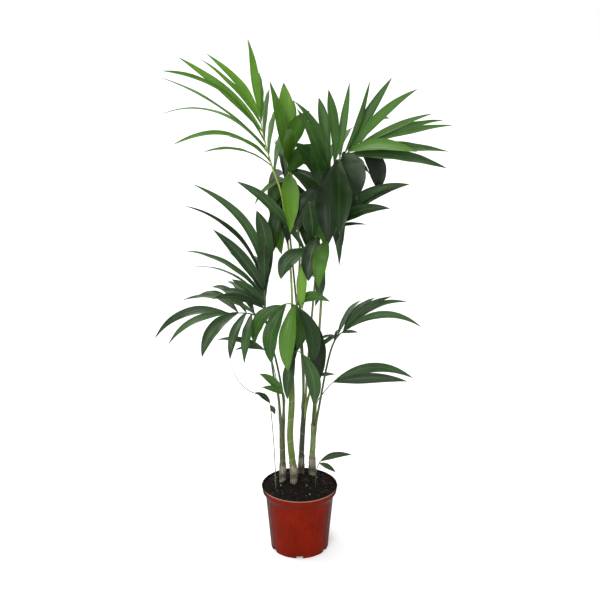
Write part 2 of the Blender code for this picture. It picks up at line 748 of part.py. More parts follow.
def blade_onto(shell, quad, blade, start):
    """Grows a leaflet out of one side of a rachis, given by its four corners."""
    shares = [start] + [s for s in STATIONS if s > start + 0.05]
    first = blade.section(shares[0])
    corners = [shell.points[i] for i in quad]
    best = min(range(4), key=lambda k: sum((first[(j + k) % 4] - corners[j]).length for j in range(4)))
    low = quad
    for share in shares:
        corner = blade.section(share)
        high = shell.add([corner[(j + best) % 4] for j in range(4)])
        shell.band(low, high)
        low = high
    shell.close_tip(low, blade.tip)


class Stalk:
    """A leaf's stalk and rachis laid out in space. Each cell of the rachis may hold a leaflet's foot."""

    def __init__(self, frond, foot, sidestep):
        points = [foot] + [grown(p) for p in frond.points]
        last_free = frond.rachis_from
        for i in range(1, last_free + 1):
            share = sin(pi * i / (last_free + 1))
            points[i] = points[i] + Vector((*sidestep, 0)) * share * PLANT_SCALE
        self.path, marks = smooth_path(points, STALK_STEP * PLANT_SCALE)
        self.begin = marks[frond.rachis_from + 1]
        self.upper = frond.upper
        self.totals = lengths_along(self.path)
        self.start = self.totals[self.begin]
        rachis = self.totals[-1] - self.start
        self.cells = int(rachis / CELL) - 1
        self.cell = rachis / (self.cells + 1)
        self.radii = []
        for total in self.totals:
            stalk = min(1.0, total / self.start)
            past = max(0.0, total - self.start) / rachis
            even = frond.radius * (0.4 + 0.6 * PLANT_SCALE) * (1 - STALK_TAPER * stalk)
            self.radii.append(even * (1 - (1 - RACHIS_TIP_RATIO) * past))

    def tube(self, spare=0.0):
        """A closed tube along it, wider by the spare where it has left the crown."""
        wider = [r + spare * min(1.0, t / SPARE_FULL_AT) for r, t in zip(self.radii, self.totals)]
        return tube_shell(self.path, wider, self.upper, TUBE_SIDES)

    def radius_at(self, number):
        """The rachis's radius at a cell."""
        return radius_at(self.totals, self.radii, self.start + number * self.cell)

    def middle(self, number):
        """The point and the direction at the middle of a cell of the rachis."""
        return point_along(self.path, self.totals, self.start + (number + 0.5) * self.cell)

    def side(self, number, leaflet):
        """The side of the tube that faces the way a leaflet grows: 0 on the right, half-way round on the left."""
        foot, along = self.middle(number)
        way = Blade(foot, leaflet).at(0.0)[1]
        normal = Vector(self.upper)
        normal = (normal - along * normal.dot(along)).normalized()
        right = normal.cross(along)
        turns = [2 * pi * k / TUBE_SIDES for k in range(TUBE_SIDES)]
        outward = [cos(turn) * right + sin(turn) * normal for turn in turns]
        return max(range(TUBE_SIDES), key=lambda k: way.dot(outward[k]))

    def stations(self, numbers):
        """The distances at which the tube has a ring, each with the cell that begins there."""
        cuts = sorted({n for n in numbers} | {n + 1 for n in numbers})
        found = [(total, None) for total in self.totals[: self.begin]]
        if cuts[0] > 1:
            found.append((self.start, None))
        found += [(self.start + n * self.cell, n) for n in cuts]
        return found + [(self.totals[-1], None)]


def cleared_stalk(frond, foot, room):
    """A leaf's stalk, bent aside until it touches nothing."""
    for sidestep in SIDESTEPS:
        stalk = Stalk(frond, foot, sidestep)
        if room.free(stalk.tube(STALK_SPARE)):
            return stalk
    return Stalk(frond, foot, SIDESTEPS[0])


def free_cell(number, side, cells, taken):
    """The free cell nearest to a number on one side of a rachis, or None."""
    for shift in (0, 1, -1, 2, -2, 3, -3, 4, -4):
        if 0 <= number + shift < cells and (number + shift, side) not in taken:
            return number + shift
    return None


def cleared_blade(stalk, number, leaflet, room, owner):
    """The leaflet turned or shortened until it touches nothing, or None."""
    foot, along = stalk.middle(number)
    for share in SHORTER:
        for turn in TURNS:
            blade = Blade(foot, leaflet, turn, share)
            start = blade.start(along, stalk.radius_at(number))
            if room.free(blade.guard(CLEARANCE, 0.0), owner, blade.guard(OWN_CLEARANCE, start)):
                return blade
    return None


def placed_blades(frond, stalk, room):
    """Every leaflet that finds room: its cell and side of the rachis, and its blade."""
    placed = {}
    for leaflet in frond.leaflets:
        number = min(max(round(leaflet.at * stalk.cells), 0), stalk.cells - 1)
        side = stalk.side(number, leaflet)
        number = free_cell(number, side, stalk.cells, placed)
        if number is None:
            continue
        blade = cleared_blade(stalk, number, leaflet, room, frond.name)
        if blade is not None:
            placed[number, side] = blade
            start = blade.start(stalk.middle(number)[1], stalk.radius_at(number))
            room.take(blade.guard(0.0, 0.0), frond.name, blade.guard(0.0, start))
    return placed


def frond_shell(frond, stalk, room):
    """One whole leaf, its leaflets grown clear of what is already in the room."""
    placed = placed_blades(frond, stalk, room)
    stations = stalk.stations([number for number, _ in placed])
    spots = [point_along(stalk.path, stalk.totals, total)[0] for total, _ in stations]
    sizes = [radius_at(stalk.totals, stalk.radii, total) for total, _ in stations]
    shell = Shell()
    loops = [shell.add(ring) for ring in tube_rings(spots, sizes, frond.upper, TUBE_SIDES)]
    for i, (low, high) in enumerate(zip(loops, loops[1:])):
        here = {side: blade for (number, side), blade in placed.items() if number == stations[i][1]}
        shell.band(low, high, here)
        for side, blade in here.items():
            after = (side + 1) % TUBE_SIDES
            quad = [low[side], low[after], high[after], high[side]]
            number = stations[i][1]
            blade_onto(shell, quad, blade, blade.start(stalk.middle(number)[1], stalk.radius_at(number)))
    shell.faces.append(tuple(reversed(loops[0])))
    shell.faces.append(tuple(loops[-1]))
    return shell


def radius_at(totals, radii, distance):
    """The radius at a distance along a stalk."""
    i = 0
    while i < len(totals) - 2 and totals[i + 1] < distance:
        i += 1
    share = (distance - totals[i]) / (totals[i + 1] - totals[i])
    return radii[i] + (radii[i + 1] - radii[i]) * min(max(share, 0.0), 1.0)


def make_object(name, shell, finish, smooth=True):
    """A mesh object from a shell, with its own material."""
    mesh = bpy.data.meshes.new(name)
    mesh.from_pydata([tuple(p) for p in shell.points], [], shell.faces)
    mesh.validate()
    material = bpy.data.materials.new(finish.name)
    material.use_nodes = True
    principled = material.node_tree.nodes["Principled BSDF"]
    principled.inputs["Base Color"].default_value = (*finish.color, 1.0)
    principled.inputs["Roughness"].default_value = finish.roughness
    principled.inputs["Metallic"].default_value = 0.0
    mesh.materials.append(material)
    part = bpy.data.objects.new(name, mesh)
    bpy.context.scene.collection.objects.link(part)
    if smooth:
        mesh.shade_smooth()
        mesh.set_sharp_from_angle(angle=radians(35))
    return part


def lathe(profile, sides):
    """A closed body turned from a profile of (radius, height) that starts and ends on the axis."""
    shell = Shell()
    (bottom,) = shell.add([Vector((0, 0, profile[0][1]))])
    loops = []
    for radius, height in profile[1:-1]:
        turns = [2 * pi * k / sides for k in range(sides)]
        loops.append(shell.add([Vector((radius * cos(t), radius * sin(t), height)) for t in turns]))
    for low, high in zip(loops, loops[1:]):
        shell.band(low, high)
    (top,) = shell.add([Vector((0, 0, profile[-1][1]))])
    for k in range(sides):
        after = (k + 1) % sides
        shell.faces.append((loops[0][after], loops[0][k], bottom))
        shell.faces.append((loops[-1][k], loops[-1][after], top))
    return shell


def wall_radius(height):
    """The pot's outer radius at a height below its rim."""
    share = height / (POT_HEIGHT - POT_RIM_HEIGHT)
    return POT_FOOT_RADIUS + (POT_SHOULDER_RADIUS - POT_FOOT_RADIUS) * share


def cutter(name, shell):
    """A helper that is cut away from another body."""
    helper = make_object(name, shell, SOIL_FINISH, smooth=False)
    helper.hide_render = True
    helper.display_type = "WIRE"
    return helper


def cut(body, helpers):
    """Cuts the helpers from a body by Boolean modifiers."""
    for helper in helpers:
        modifier = body.modifiers.new("cut_" + helper.name, "BOOLEAN")
        modifier.operation = "DIFFERENCE"
        modifier.solver = "EXACT"
        modifier.object = helper


def drain_shell(turn):
    """An arched prism that runs in from outside the foot of the pot."""
    shell = Shell()
    half = DRAIN_WIDTH / 2
    outline = [(-half, -0.004), (half, -0.004)]
    for k in range(DRAIN_ARCH_STEPS + 1):
        t = pi * k / DRAIN_ARCH_STEPS
        outline.append((half * cos(t), DRAIN_HEIGHT * (0.55 + 0.45 * sin(t))))
    out = Vector((cos(turn), sin(turn), 0))
    across = Vector((-sin(turn), cos(turn), 0))
    near = POT_FOOT_RADIUS - DRAIN_DEPTH
    far = POT_FOOT_RADIUS + 0.012
    inner = shell.add([out * near + across * x + UP * z for x, z in outline])
    outer = shell.add([out * far + across * x + UP * z for x, z in outline])
    shell.band(inner, outer)
    shell.faces.append(tuple(reversed(inner)))
    shell.faces.append(tuple(outer))
    return shell


def build_pot():
    """The pot: a tapered wall, a rim that stands out from it, and drainage notches round its foot."""
    shoulder = POT_HEIGHT - POT_RIM_HEIGHT
    profile = (
        (0, 0),
        (POT_FOOT_RADIUS - POT_FOOT_BEVEL, 0),
        (POT_FOOT_RADIUS, POT_FOOT_BEVEL),
        (POT_SHOULDER_RADIUS, shoulder),
        (POT_BAND_RADIUS, shoulder + 0.0012),
        (POT_RIM_RADIUS - 0.0007, POT_HEIGHT - POT_LIP),
        (POT_RIM_RADIUS, POT_HEIGHT - POT_LIP / 2),
        (POT_RIM_RADIUS - 0.0009, POT_HEIGHT),
        (POT_RIM_RADIUS - POT_WALL, POT_HEIGHT - 0.0006),
        (POT_BAND_RADIUS - POT_WALL, shoulder + BAND_RISE - SOIL_SETTLED),
        (POT_SHOULDER_RADIUS - POT_WALL, shoulder),
        (POT_FOOT_RADIUS - POT_WALL, POT_FLOOR),
        (0, POT_FLOOR),
    )
    pot = make_object("pot", lathe(profile, POT_SIDES), POT_FINISH)
    turns = [2 * pi * k / DRAIN_COUNT - pi / 2 for k in range(DRAIN_COUNT)]
    cut(pot, [cutter(f"drain_{k}", drain_shell(turn)) for k, turn in enumerate(turns)])


def soil_height(x, y):
    """The height of the soil's surface: a mound with lumps that fade toward the wall."""
    reach = POT_RIM_RADIUS - POT_WALL - 0.004
    out = min(1.0, sqrt(x * x + y * y) / reach)
    mound = SOIL_MOUND * cos(0.5 * pi * out) ** 1.3
    lumps = sin(231 * x + 1.3) * sin(207 * y + 0.4) + 0.6 * sin(410 * x - 260 * y + 2.1)
    return SOIL_LEVEL + mound + SOIL_LUMP * lumps * (1 - out**4)


def build_soil(feet):
    """The soil: fills the pot to just under the rim, with a socket for each stem."""
    shoulder = POT_HEIGHT - POT_RIM_HEIGHT
    shell = Shell()
    (bottom,) = shell.add([Vector((0, 0, POT_FLOOR + GAP))])
    shrink = POT_WALL + GAP + SOIL_SETTLED
    waist = POT_FOOT_RADIUS - shrink - DRAIN_DEPTH - SOIL_OFF_DRAIN
    flare = DRAIN_HEIGHT + 5 * SOIL_OFF_DRAIN
    wall = (
        (waist, POT_FLOOR + GAP),
        (waist, DRAIN_HEIGHT + 2 * SOIL_OFF_DRAIN),
        (wall_radius(flare) - shrink, flare),
        (POT_SHOULDER_RADIUS - shrink, shoulder),
        (POT_BAND_RADIUS - shrink, shoulder + BAND_RISE),
    )
    top_radius = POT_BAND_RADIUS - shrink
    loops = []
    turns = [2 * pi * k / POT_SIDES for k in range(POT_SIDES)]
    for radius, height in wall:
        loops.append(shell.add([Vector((radius * cos(t), radius * sin(t), height)) for t in turns]))
    for ring in range(SOIL_RINGS):
        radius = top_radius * (1 - ring / SOIL_RINGS)
        spots = [(radius * cos(t), radius * sin(t)) for t in turns]
        loops.append(shell.add([Vector((x, y, soil_height(x, y))) for x, y in spots]))
    for low, high in zip(loops, loops[1:]):
        shell.band(low, high)
    (top,) = shell.add([Vector((0, 0, soil_height(0, 0)))])
    for k in range(POT_SIDES):
        after = (k + 1) % POT_SIDES
        shell.faces.append((loops[0][after], loops[0][k], bottom))
        shell.faces.append((loops[-1][k], loops[-1][after], top))
    soil = make_object("soil", shell, SOIL_FINISH)
    helpers = []
    for k, (foot, radius) in enumerate(feet):
        wide = (radius + GAP) / cos(pi / STEM_SIDES)
        path = [foot - UP * GAP, foot + UP * 0.08]
        helpers.append(cutter(f"socket_{k}", tube_shell(path, [wide, wide], FRONT, STEM_SIDES)))
    cut(soil, helpers)


def stem_path(stem):
    """The curve of a stem, upright in its socket and then through its points."""
    first = grown(stem.points[0])
    surface = soil_height(first.x, first.y)
    foot = Vector((first.x, first.y, surface - SOCKET_DEPTH))
    level = Vector((first.x, first.y, surface + 0.012))
    points = [level] + [grown(p) for p in stem.points]
    path, _ = smooth_path(points, 0.022)
    return [foot] + path


def stem_radii(path, radius):
    """A stem's radius at each point: a swollen foot, then a slow taper with slight joints."""
    totals = lengths_along(path)
    radii = []
    for i, total in enumerate(totals):
        share = total / totals[-1]
        joint = 0.00035 if i > 2 and i % 3 == 0 else 0.0
        radii.append(radius * (1 - (1 - STEM_TOP_RATIO) * share) + joint)
    radii[0] = radii[1] = radius
    return radii


def build_stems(room):
    """The stems and the dry sheaths round their feet. Gives the top and the foot of each stem."""
    crowns = {}
    feet = []
    for stem in STEMS:
        path = stem_path(stem)
        radii = stem_radii(path, stem.radius)
        shell = tube_shell(path, radii, FRONT, STEM_SIDES)
        room.take(shell)
        make_object(stem.name, shell, STEM_FINISH)
        crowns[stem.name] = (path[-1], tangents_of(path)[-1])
        feet.append((path[0], stem.radius))
        build_sheath(stem, path, radii, room)
    return crowns, feet


def build_sheath(stem, path, radii, room):
    """An open sleeve of dry fibre round the lowest part of a stem."""
    totals = lengths_along(path)
    start = totals[1] + 0.002
    spots = []
    inner = []
    outer = []
    for share in (0.0, 0.3, 0.65, 1.0):
        distance = start + share * SHEATH_HEIGHT
        spots.append(point_along(path, totals, distance)[0])
        close = radius_at(totals, radii, distance) / cos(pi / STEM_SIDES) + GAP + 0.0003
        inner.append(close + 0.0012 * share**2)
        outer.append(inner[-1] + SHEATH_WALL * (1 - 0.5 * share))
    shell = Shell()
    outside = [shell.add(ring) for ring in tube_rings(spots, outer, FRONT, STEM_SIDES)]
    inside = [shell.add(ring) for ring in tube_rings(spots, inner, FRONT, STEM_SIDES)]
    for low, high in zip(outside, outside[1:]):
        shell.band(low, high)
    for low, high in zip(inside, inside[1:]):
        shell.band(high, low)
    shell.band(outside[-1], inside[-1])
    shell.band(inside[0], outside[0])
    room.take(shell)
    make_object(stem.name.replace("stem", "sheath"), shell, SHEATH_FINISH)


def frond_foot(frond, crowns):
    """Where a leaf's stalk starts: on a stem's top, or just above the soil for a seedling."""
    if frond.stem:
        centre, along = crowns[frond.stem]
        turn = radians(frond.slot)
        out = Vector((cos(turn), sin(turn), 0)) * CROWN_RADIUS
        return centre + out - along * out.dot(along) + along * CROWN_GAP
    first = grown(frond.points[0])
    return Vector((first.x, first.y, soil_height(first.x, first.y) + 0.001))


def clear_scene():
    """Takes away whatever the scene starts with."""
    for item in list(bpy.data.objects):
        bpy.data.objects.remove(item)


def main():
    """Builds every piece."""
    clear_scene()
    room = Room()
    crowns, feet = build_stems(room)
    build_pot()
    build_soil(feet)
    stalks = []
    for frond in FRONDS:
        stalks.append(cleared_stalk(frond, frond_foot(frond, crowns), room))
        room.take(stalks[-1].tube(), frond.name, stalks[-1].tube())
    for frond, stalk in zip(FRONDS, stalks):
        make_object(frond.name, frond_shell(frond, stalk, room), LEAF_FINISHES[frond.finish])


main()
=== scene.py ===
"""Looks of a kentia palm of four young plants in one nursery pot.

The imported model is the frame. X is to the right, Y runs away from the front of the
plant and Z is up, in metres. Each leaf, stem, husk, the soil and the pot is made again
here in fine detail, in the place that the frame gives it.
"""

import logging
from dataclasses import dataclass
from enum import Enum
from functools import cache, reduce
from math import cos, exp, hypot, pi, radians, sin, sqrt
from random import Random
from typing import Optional, Union
from zlib import crc32

import bpy
import numpy as np
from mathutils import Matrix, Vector, noise
from mathutils.kdtree import KDTree


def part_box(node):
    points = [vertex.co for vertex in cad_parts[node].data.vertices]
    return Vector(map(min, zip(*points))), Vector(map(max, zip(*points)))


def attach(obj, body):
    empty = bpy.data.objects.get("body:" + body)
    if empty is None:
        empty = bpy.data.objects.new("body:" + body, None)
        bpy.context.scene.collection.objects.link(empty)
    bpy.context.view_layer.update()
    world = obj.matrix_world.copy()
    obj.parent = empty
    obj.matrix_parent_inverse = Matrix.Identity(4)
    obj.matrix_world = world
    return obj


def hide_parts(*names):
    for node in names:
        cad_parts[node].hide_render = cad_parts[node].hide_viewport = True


Color = tuple[float, float, float]
Point = tuple[float, float, float]
Material = bpy.types.Material
Path = list[Vector]
Piece = bpy.types.Object
Socket = bpy.types.NodeSocket
Source = Union[float, Socket]

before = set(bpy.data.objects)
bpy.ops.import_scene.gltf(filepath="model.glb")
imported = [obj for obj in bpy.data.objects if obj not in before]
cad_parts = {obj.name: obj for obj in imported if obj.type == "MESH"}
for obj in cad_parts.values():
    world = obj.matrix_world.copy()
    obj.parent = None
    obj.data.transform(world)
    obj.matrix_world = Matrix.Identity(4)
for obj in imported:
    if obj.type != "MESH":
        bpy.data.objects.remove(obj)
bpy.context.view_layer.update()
LOG = logging.getLogger("palm")

UP = Vector((0.0, 0.0, 1.0))
FRONT = Vector((0.0, -1.0, 0.0))
ROOT = "root"
TURN = 2 * pi
WHITE = (1.0, 1.0, 1.0)


def seeded(name: str) -> Random:
    """A source of chance that is the same in every run for the same name."""
    return Random(crc32(name.encode()))


class Tone(Enum):
    """The palm's one green in a lit, a middle and a shaded copy: painted light and painted shade.
    """

    BRIGHT = "leaf_bright"
    LEAF = "leaf_green"
    DARK = "leaf_dark"


@dataclass(frozen=True)
class Leaflet:
    """One blade. Its bearing is in the upright plane facing the front: 0 right, 90 up."""

    at: float  # share of the rachis
    bearing: float  # degrees
    length: float  # from foot to tip
    width: float
    lean: float = 0.0  # degrees toward the front
    bow: float = 0.07  # height of its arch as a share of its length
    face: float = 25.0  # degrees from facing the front to facing up
    belly: float = 0.45  # where it is widest
    light: float = 0.0  # from -2, painted deep shade, to 2, painted brightness


@dataclass(frozen=True)
class Frond:
    """One whole leaf: its stalk's points from the crown, and its leaflets."""

    name: str
    stem: str
    slot: float  # degrees round the stem's top
    points: tuple[Point, ...]
    rachis_from: int  # the point at which the rachis begins
    leaflets: tuple[Leaflet, ...]
    upper: Point = (0.0, -1.0, 0.2)  # the way its upper side faces
    radius: float = 0.0029
    tone: Tone = Tone.LEAF


@dataclass(frozen=True)
class Stem:
    """One upright stem made of old leaf bases."""

    name: str
    points: tuple[Point, ...]
    radius: float = 0.0078


STEMS = (
    Stem("stem_left", ((-0.042, 0.0, 0.225), (-0.043, 0.0, 0.29), (-0.043, 0.001, 0.342))),
    Stem(
        "stem_front",
        (
            (-0.0145, -0.017, 0.215),
            (-0.023, -0.017, 0.3),
            (-0.019, -0.016, 0.4),
            (-0.021, -0.012, 0.494),
        ),
        0.00827,
    ),
    Stem(
        "stem_back",
        ((0.0045, 0.04, 0.225), (0.0075, 0.04, 0.29), (0.012, 0.038, 0.36)),
        0.00718,
    ),
    Stem("stem_right", ((0.032, 0.033, 0.225), (0.034, 0.033, 0.265), (0.035, 0.033, 0.305))),
)


HINDMOST = (0.26, 0.44, 0.60, 0.76, 0.90)  # places of the back leaves' hanging leaflets


def ramp(start: float, end: float, count: int) -> list[float]:
    """Evenly spaced values from start to end."""
    return [start + (end - start) * i / (count - 1) for i in range(count)]


def rows(*table: tuple[float, ...]) -> tuple[Leaflet, ...]:
    """Leaflets whose values stand in rows, in the order of a leaflet's fields."""
    return tuple(Leaflet(*row) for row in table)


def spread(
    ats: tuple[float, ...],
    bearings: tuple[float, float],
    leans: tuple[float, float],
    lengths: tuple[float, float],
    width: float,
    bow: float = 0.12,
    face: float = 55.0,
) -> tuple[Leaflet, ...]:
    """Leaflets whose values run evenly from one end of each pair to the other.

    Args:
        ats: their places along the rachis.
        bearings: the first and the last bearing, in degrees.
        leans: the first and the last lean, in degrees.
        lengths: the first and the last length.
        width: the width of each.
        bow: the arch of each.
        face: the way each faces, in degrees.

    Returns:
        The leaflets in order.
    """
    count = len(ats)
    values = zip(ats, ramp(*bearings, count), ramp(*leans, count), ramp(*lengths, count))
    return tuple(Leaflet(at, b, size, width, lean, bow, face) for at, b, lean, size in values)


UPPER_LEFT = Frond(
    "frond_upper_left", "stem_front", 190,
    (
        (-0.021, -0.004, 0.56), (-0.018, 0.0, 0.649), (-0.023, 0.0, 0.747), (-0.033, 0.0, 0.831),
        (-0.041, 0.0, 0.901), (-0.064, 0.0, 0.97), (-0.082, 0.0, 1.038), (-0.092, 0.0, 1.1),
    ),
    4,
    rows(
        (0.93, 98, 0.17, 0.019, 10, 0.02, 10),
        (0.87, 123, 0.194, 0.018, 5, 0.07, 25, 0.4),
        (0.81, 134, 0.212, 0.02, -10, 0.05, 72, 0.5),
        (0.74, 138, 0.254, 0.021, -2, 0.05, 25, 0.42),
        (0.62, 143, 0.288, 0.02, 15, 0.13, 70, 0.72),
        (0.54, 148, 0.31, 0.02, -15, 0.06, 72, 0.66),
        (0.47, 163, 0.3, 0.018, -25, 0.16, 76, 0.6),
        (0.4, 167, 0.232, 0.016, 20, 0.18, 74, 0.6),
        (0.33, 164, 0.172, 0.015, 25, 0.12, 78, 0.55),
        (0.36, 148, 0.118, 0.013, -5, 0.11, 60, 0.55),
    )
    + spread((0.25, 0.45, 0.65, 0.85), (70, 95), (-66, -50), (0.22, 0.17), 0.022),
    tone=Tone.BRIGHT,
)

CENTRE_TOP = Frond(
    "frond_centre_top", "stem_front", 90,
    (
        (-0.01, 0.012, 0.58), (-0.002, 0.038, 0.69), (0.0, 0.05, 0.77), (-0.009, 0.05, 0.845),
        (-0.02, 0.05, 0.905), (-0.026, 0.05, 0.955), (-0.03, 0.05, 1.01),
    ),
    4,
    rows(
        (0.62, 102, 0.2, 0.025, 2, 0.03, 10, 0.4, 0.3),
        (0.75, 93, 0.172, 0.041, -2, 0.03, 10, 0.5, 0.6),
        (0.94, 82, 0.13, 0.032, -34, 0.06, 12, 0.45, -0.7),
        (0.5, 92, 0.19, 0.043, 58, 0.1, 60, 0.5),
        (0.8, 64, 0.12, 0.039, 10, 0.06, 15, 0.48, -1.0),
        (0.4, 52, 0.118, 0.039, 24, 0.08, 20, 0.48, -0.8),
        (0.3, -95, 0.15, 0.041, 38, 0.22, 20, 0.45, 1.2),
        (0.14, -126, 0.08, 0.026, 20, 0.2, 30, 0.45, -1.2),
        (0.2, -148, 0.105, 0.015, 22, 0.16, 60, 0.5, -1.0),
        (0.03, -98, 0.165, 0.039, -6, 0.12, 20, 0.52, -0.8),
        (0.68, -34, 0.12, 0.039, 24, 0.26, 30, 0.5, -1.4),
        (0.4, -60, 0.15, 0.041, 36, 0.24, 25, 0.5, -1.6),
        (0.12, -74, 0.165, 0.041, 44, 0.18, 20, 0.5, -1.8),
    )
    + spread((0.15, 0.40, 0.65, 0.88), (60, 88), (-70, -58), (0.19, 0.16), 0.024),
    tone=Tone.BRIGHT,
)

UPPER_RIGHT = Frond(
    "frond_upper_right", "stem_back", 290,
    (
        (0.02, 0.026, 0.48), (0.032, 0.006, 0.64), (0.04, 0.0, 0.735), (0.047, 0.0, 0.819),
        (0.05, 0.0, 0.889), (0.06, 0.0, 0.94), (0.082, 0.0, 0.975), (0.112, 0.0, 1.000),
        (0.15, 0.0, 1.024),
    ),
    4,
    rows(
        (0.3, 113, 0.194, 0.022, -2, 0.13, 15, 0.4, -0.6),
        (0.22, 110, 0.196, 0.024, 16, 0.08, 15, 0.4),
        (0.4, 99, 0.174, 0.024, -6, 0.03, 10, 0.66),
        (0.49, 95, 0.172, 0.023, 2, 0.04, 10, 0.64),
        (0.14, 121, 0.15, 0.036, 10, 0.1, 20, 0.46, -0.9),
        (0.08, 103, 0.15, 0.034, 24, 0.08, 20, 0.48, -0.9),
        (0.6, 83, 0.178, 0.018, -10, 0.02, 12, 0.45),
        (0.68, 72, 0.18, 0.014, 0, -0.04, 30, 0.45),
        (0.74, 60, 0.196, 0.023, 0, 0.02, 15, 0.45),
        (0.81, 45, 0.2, 0.022, 5, 0.06, 20, 0.45),
        (0.88, 24, 0.187, 0.016, -5, 0.03, 35, 0.45),
        (0.93, 15, 0.212, 0.018, -15, 0.04, 35, 0.45),
        (0.97, 12, 0.21, 0.019, 10, 0.02, 35, 0.45),
        (0.84, 1, 0.216, 0.024, 20, 0.02, 35, 0.4, -0.9),
        (0.76, 6, 0.176, 0.03, 34, 0.08, 35, 0.4, 0.6),
        (0.64, -1, 0.256, 0.025, 30, 0.06, 35, 0.45, -1.2),
        (0.71, -40, 0.072, 0.014, 10, 0.06, 50, 0.45, -1.5),
        (0.84, -64, 0.11, 0.036, 40, 0.16, 25, 0.5, -2.0),
        (0.7, -78, 0.16, 0.044, 34, 0.16, 25, 0.5, -2.0),
        (0.57, -90, 0.19, 0.046, 40, 0.15, 25, 0.5, -1.9),
        (0.44, -99, 0.18, 0.046, 32, 0.14, 25, 0.5, -2.0),
        (0.3, -110, 0.165, 0.044, 24, 0.13, 25, 0.5, -1.9),
        (0.17, -122, 0.12, 0.038, 16, 0.13, 25, 0.5, -1.7),
    )
    + spread((0.25, 0.50, 0.75, 0.92), (60, 30), (-64, -56), (0.20, 0.17), 0.024),
    (-0.2, -0.55, 0.6),
)

CENTRE_MIDDLE = Frond(
    "frond_centre_middle", "stem_back", 200,
    (
        (0.01, 0.012, 0.45), (0.004, -0.018, 0.581), (0.0, -0.022, 0.679), (0.009, -0.022, 0.752),
        (0.033, -0.022, 0.799), (0.066, -0.022, 0.826), (0.096, -0.022, 0.836),
    ),
    3,
    rows(
        (0.96, 31, 0.192, 0.034, 0, 0.12, 25, 0.38),
        (0.84, 24, 0.15, 0.028, 22, 0.1, 25, 0.4),
        (0.9, 40, 0.166, 0.023, 11, 0.09, 30, 0.4),
        (0.75, 10, 0.095, 0.01, 8, 0.06, 40, 0.4),
        (0.12, 133, 0.236, 0.024, -2, 0.08, 25, 0.62),
        (0.42, 96, 0.125, 0.046, 26, 0.05, 20, 0.5),
        (0.7, 84, 0.12, 0.046, 22, 0.05, 20, 0.5),
        (0.5, -104, 0.112, 0.041, 38, 0.16, 20, 0.5, -1.0),
        (0.62, -96, 0.105, 0.034, 20, 0.2, 20, 0.48, 1.9),
        (0.22, -84, 0.138, 0.028, 33, 0.14, 20, 0.48),
        (0.3, -124, 0.12, 0.046, 34, 0.22, 25, 0.5),
        (0.08, -140, 0.088, 0.039, 16, 0.2, 25, 0.5),
    ),
    (-0.3, -0.6, 0.7),
    tone=Tone.DARK,
)

MIDDLE_LEFT = Frond(
    "frond_middle_left", "stem_left", 40,
    (
        (-0.04, 0.006, 0.395), (-0.052, 0.006, 0.47), (-0.067, 0.0, 0.54), (-0.078, -0.008, 0.59),
        (-0.082, -0.01, 0.645), (-0.084, -0.01, 0.712),
    ),
    3,
    rows(
        (0.84, 127, 0.292, 0.022, 0, 0.16, 25, 0.42),
        (0.77, 129, 0.29, 0.016, 18, 0.13, 60, 0.45),
        (0.7, 120, 0.2, 0.027, 9, 0.05, 20, 0.45),
        (0.8, 95, 0.186, 0.034, 10, 0.08, 15, 0.7),
        (0.73, 88, 0.15, 0.03, 24, 0.08, 20, 0.6),
        (0.66, 98, 0.112, 0.02, -8, 0.04, 20, 0.5),
        (0.54, 149, 0.226, 0.016, -5, 0.12, 60, 0.45),
        (0.6, 130, 0.148, 0.008, -14, 0.04, 60, 0.45),
        (0.47, 161, 0.218, 0.012, -20, 0.14, 74, 0.45),
        (0.4, 139, 0.104, 0.02, 10, 0.06, 30, 0.55),
        (0.3, 162, 0.137, 0.02, 20, 0.11, 35, 0.55),
        (0.34, 159, 0.113, 0.016, 5, 0.09, 40, 0.55),
    )
    + spread((0.30, 0.52, 0.74, 0.92), (150, 118), (-76, -66), (0.18, 0.16), 0.022)
    + spread((0.42, 0.66), (80, 95), (-62, -66), (0.13, 0.13), 0.020),
    tone=Tone.DARK,
)

LOWER_LEFT = Frond(
    "frond_lower_left", "stem_left", 160,
    (
        (-0.052, -0.012, 0.409), (-0.063, -0.022, 0.47), (-0.07, -0.03, 0.54), (-0.078, -0.03, 0.6),
        (-0.106, -0.03, 0.621), (-0.141, -0.03, 0.626), (-0.172, -0.03, 0.62),
    ),
    3,
    rows(
        (0.93, -162, 0.192, 0.022, 0, 0.19, 35, 0.45),
        (0.97, -158, 0.164, 0.018, 14, 0.16, 40, 0.45),
        (0.87, -155, 0.164, 0.016, -14, 0.12, 50, 0.45),
        (0.76, -133, 0.134, 0.03, 25, 0.18, 25, 0.5),
        (0.56, -112, 0.118, 0.024, 36, 0.16, 25, 0.5),
        (0.38, -99, 0.12, 0.024, 36, 0.14, 25, 0.5),
        (0.26, 171, 0.19, 0.018, -12, 0.14, 55, 0.45),
    )
    + spread((0.35, 0.55, 0.75), (150, 175), (-58, -50), (0.17, 0.17), 0.022),
    (-0.1, -0.4, 1.0),
    tone=Tone.DARK,
)

LOWER_RIGHT = Frond(
    "frond_lower_right", "stem_right", 318,
    (
        (0.051, 0.03, 0.38), (0.066, 0.03, 0.467), (0.08, 0.03, 0.524), (0.097, 0.03, 0.553),
        (0.124, 0.03, 0.571),
    ),
    2,
    rows(
        (0.74, 39, 0.15, 0.018, 2, 0.1, 30, 0.45),
        (0.9, 23, 0.164, 0.016, -10, 0.15, 35, 0.45),
        (0.96, 6, 0.182, 0.018, 12, 0.19, 30, 0.45),
        (0.62, 12, 0.045, 0.009, 22, 0.06, 40, 0.45),
        (0.46, -144, 0.066, 0.012, 6, 0.1, 40, 0.5),
        (0.36, 176, 0.076, 0.008, 24, 0.1, 60, 0.5),
        (0.06, 82, 0.075, 0.008, 10, 0.06, 40, 0.5),
    )
    + spread((0.45, 0.66, 0.84), (46, 24), (-48, -38), (0.14, 0.15), 0.018),
    (-0.4, -0.7, 0.6),
    tone=Tone.DARK,
)

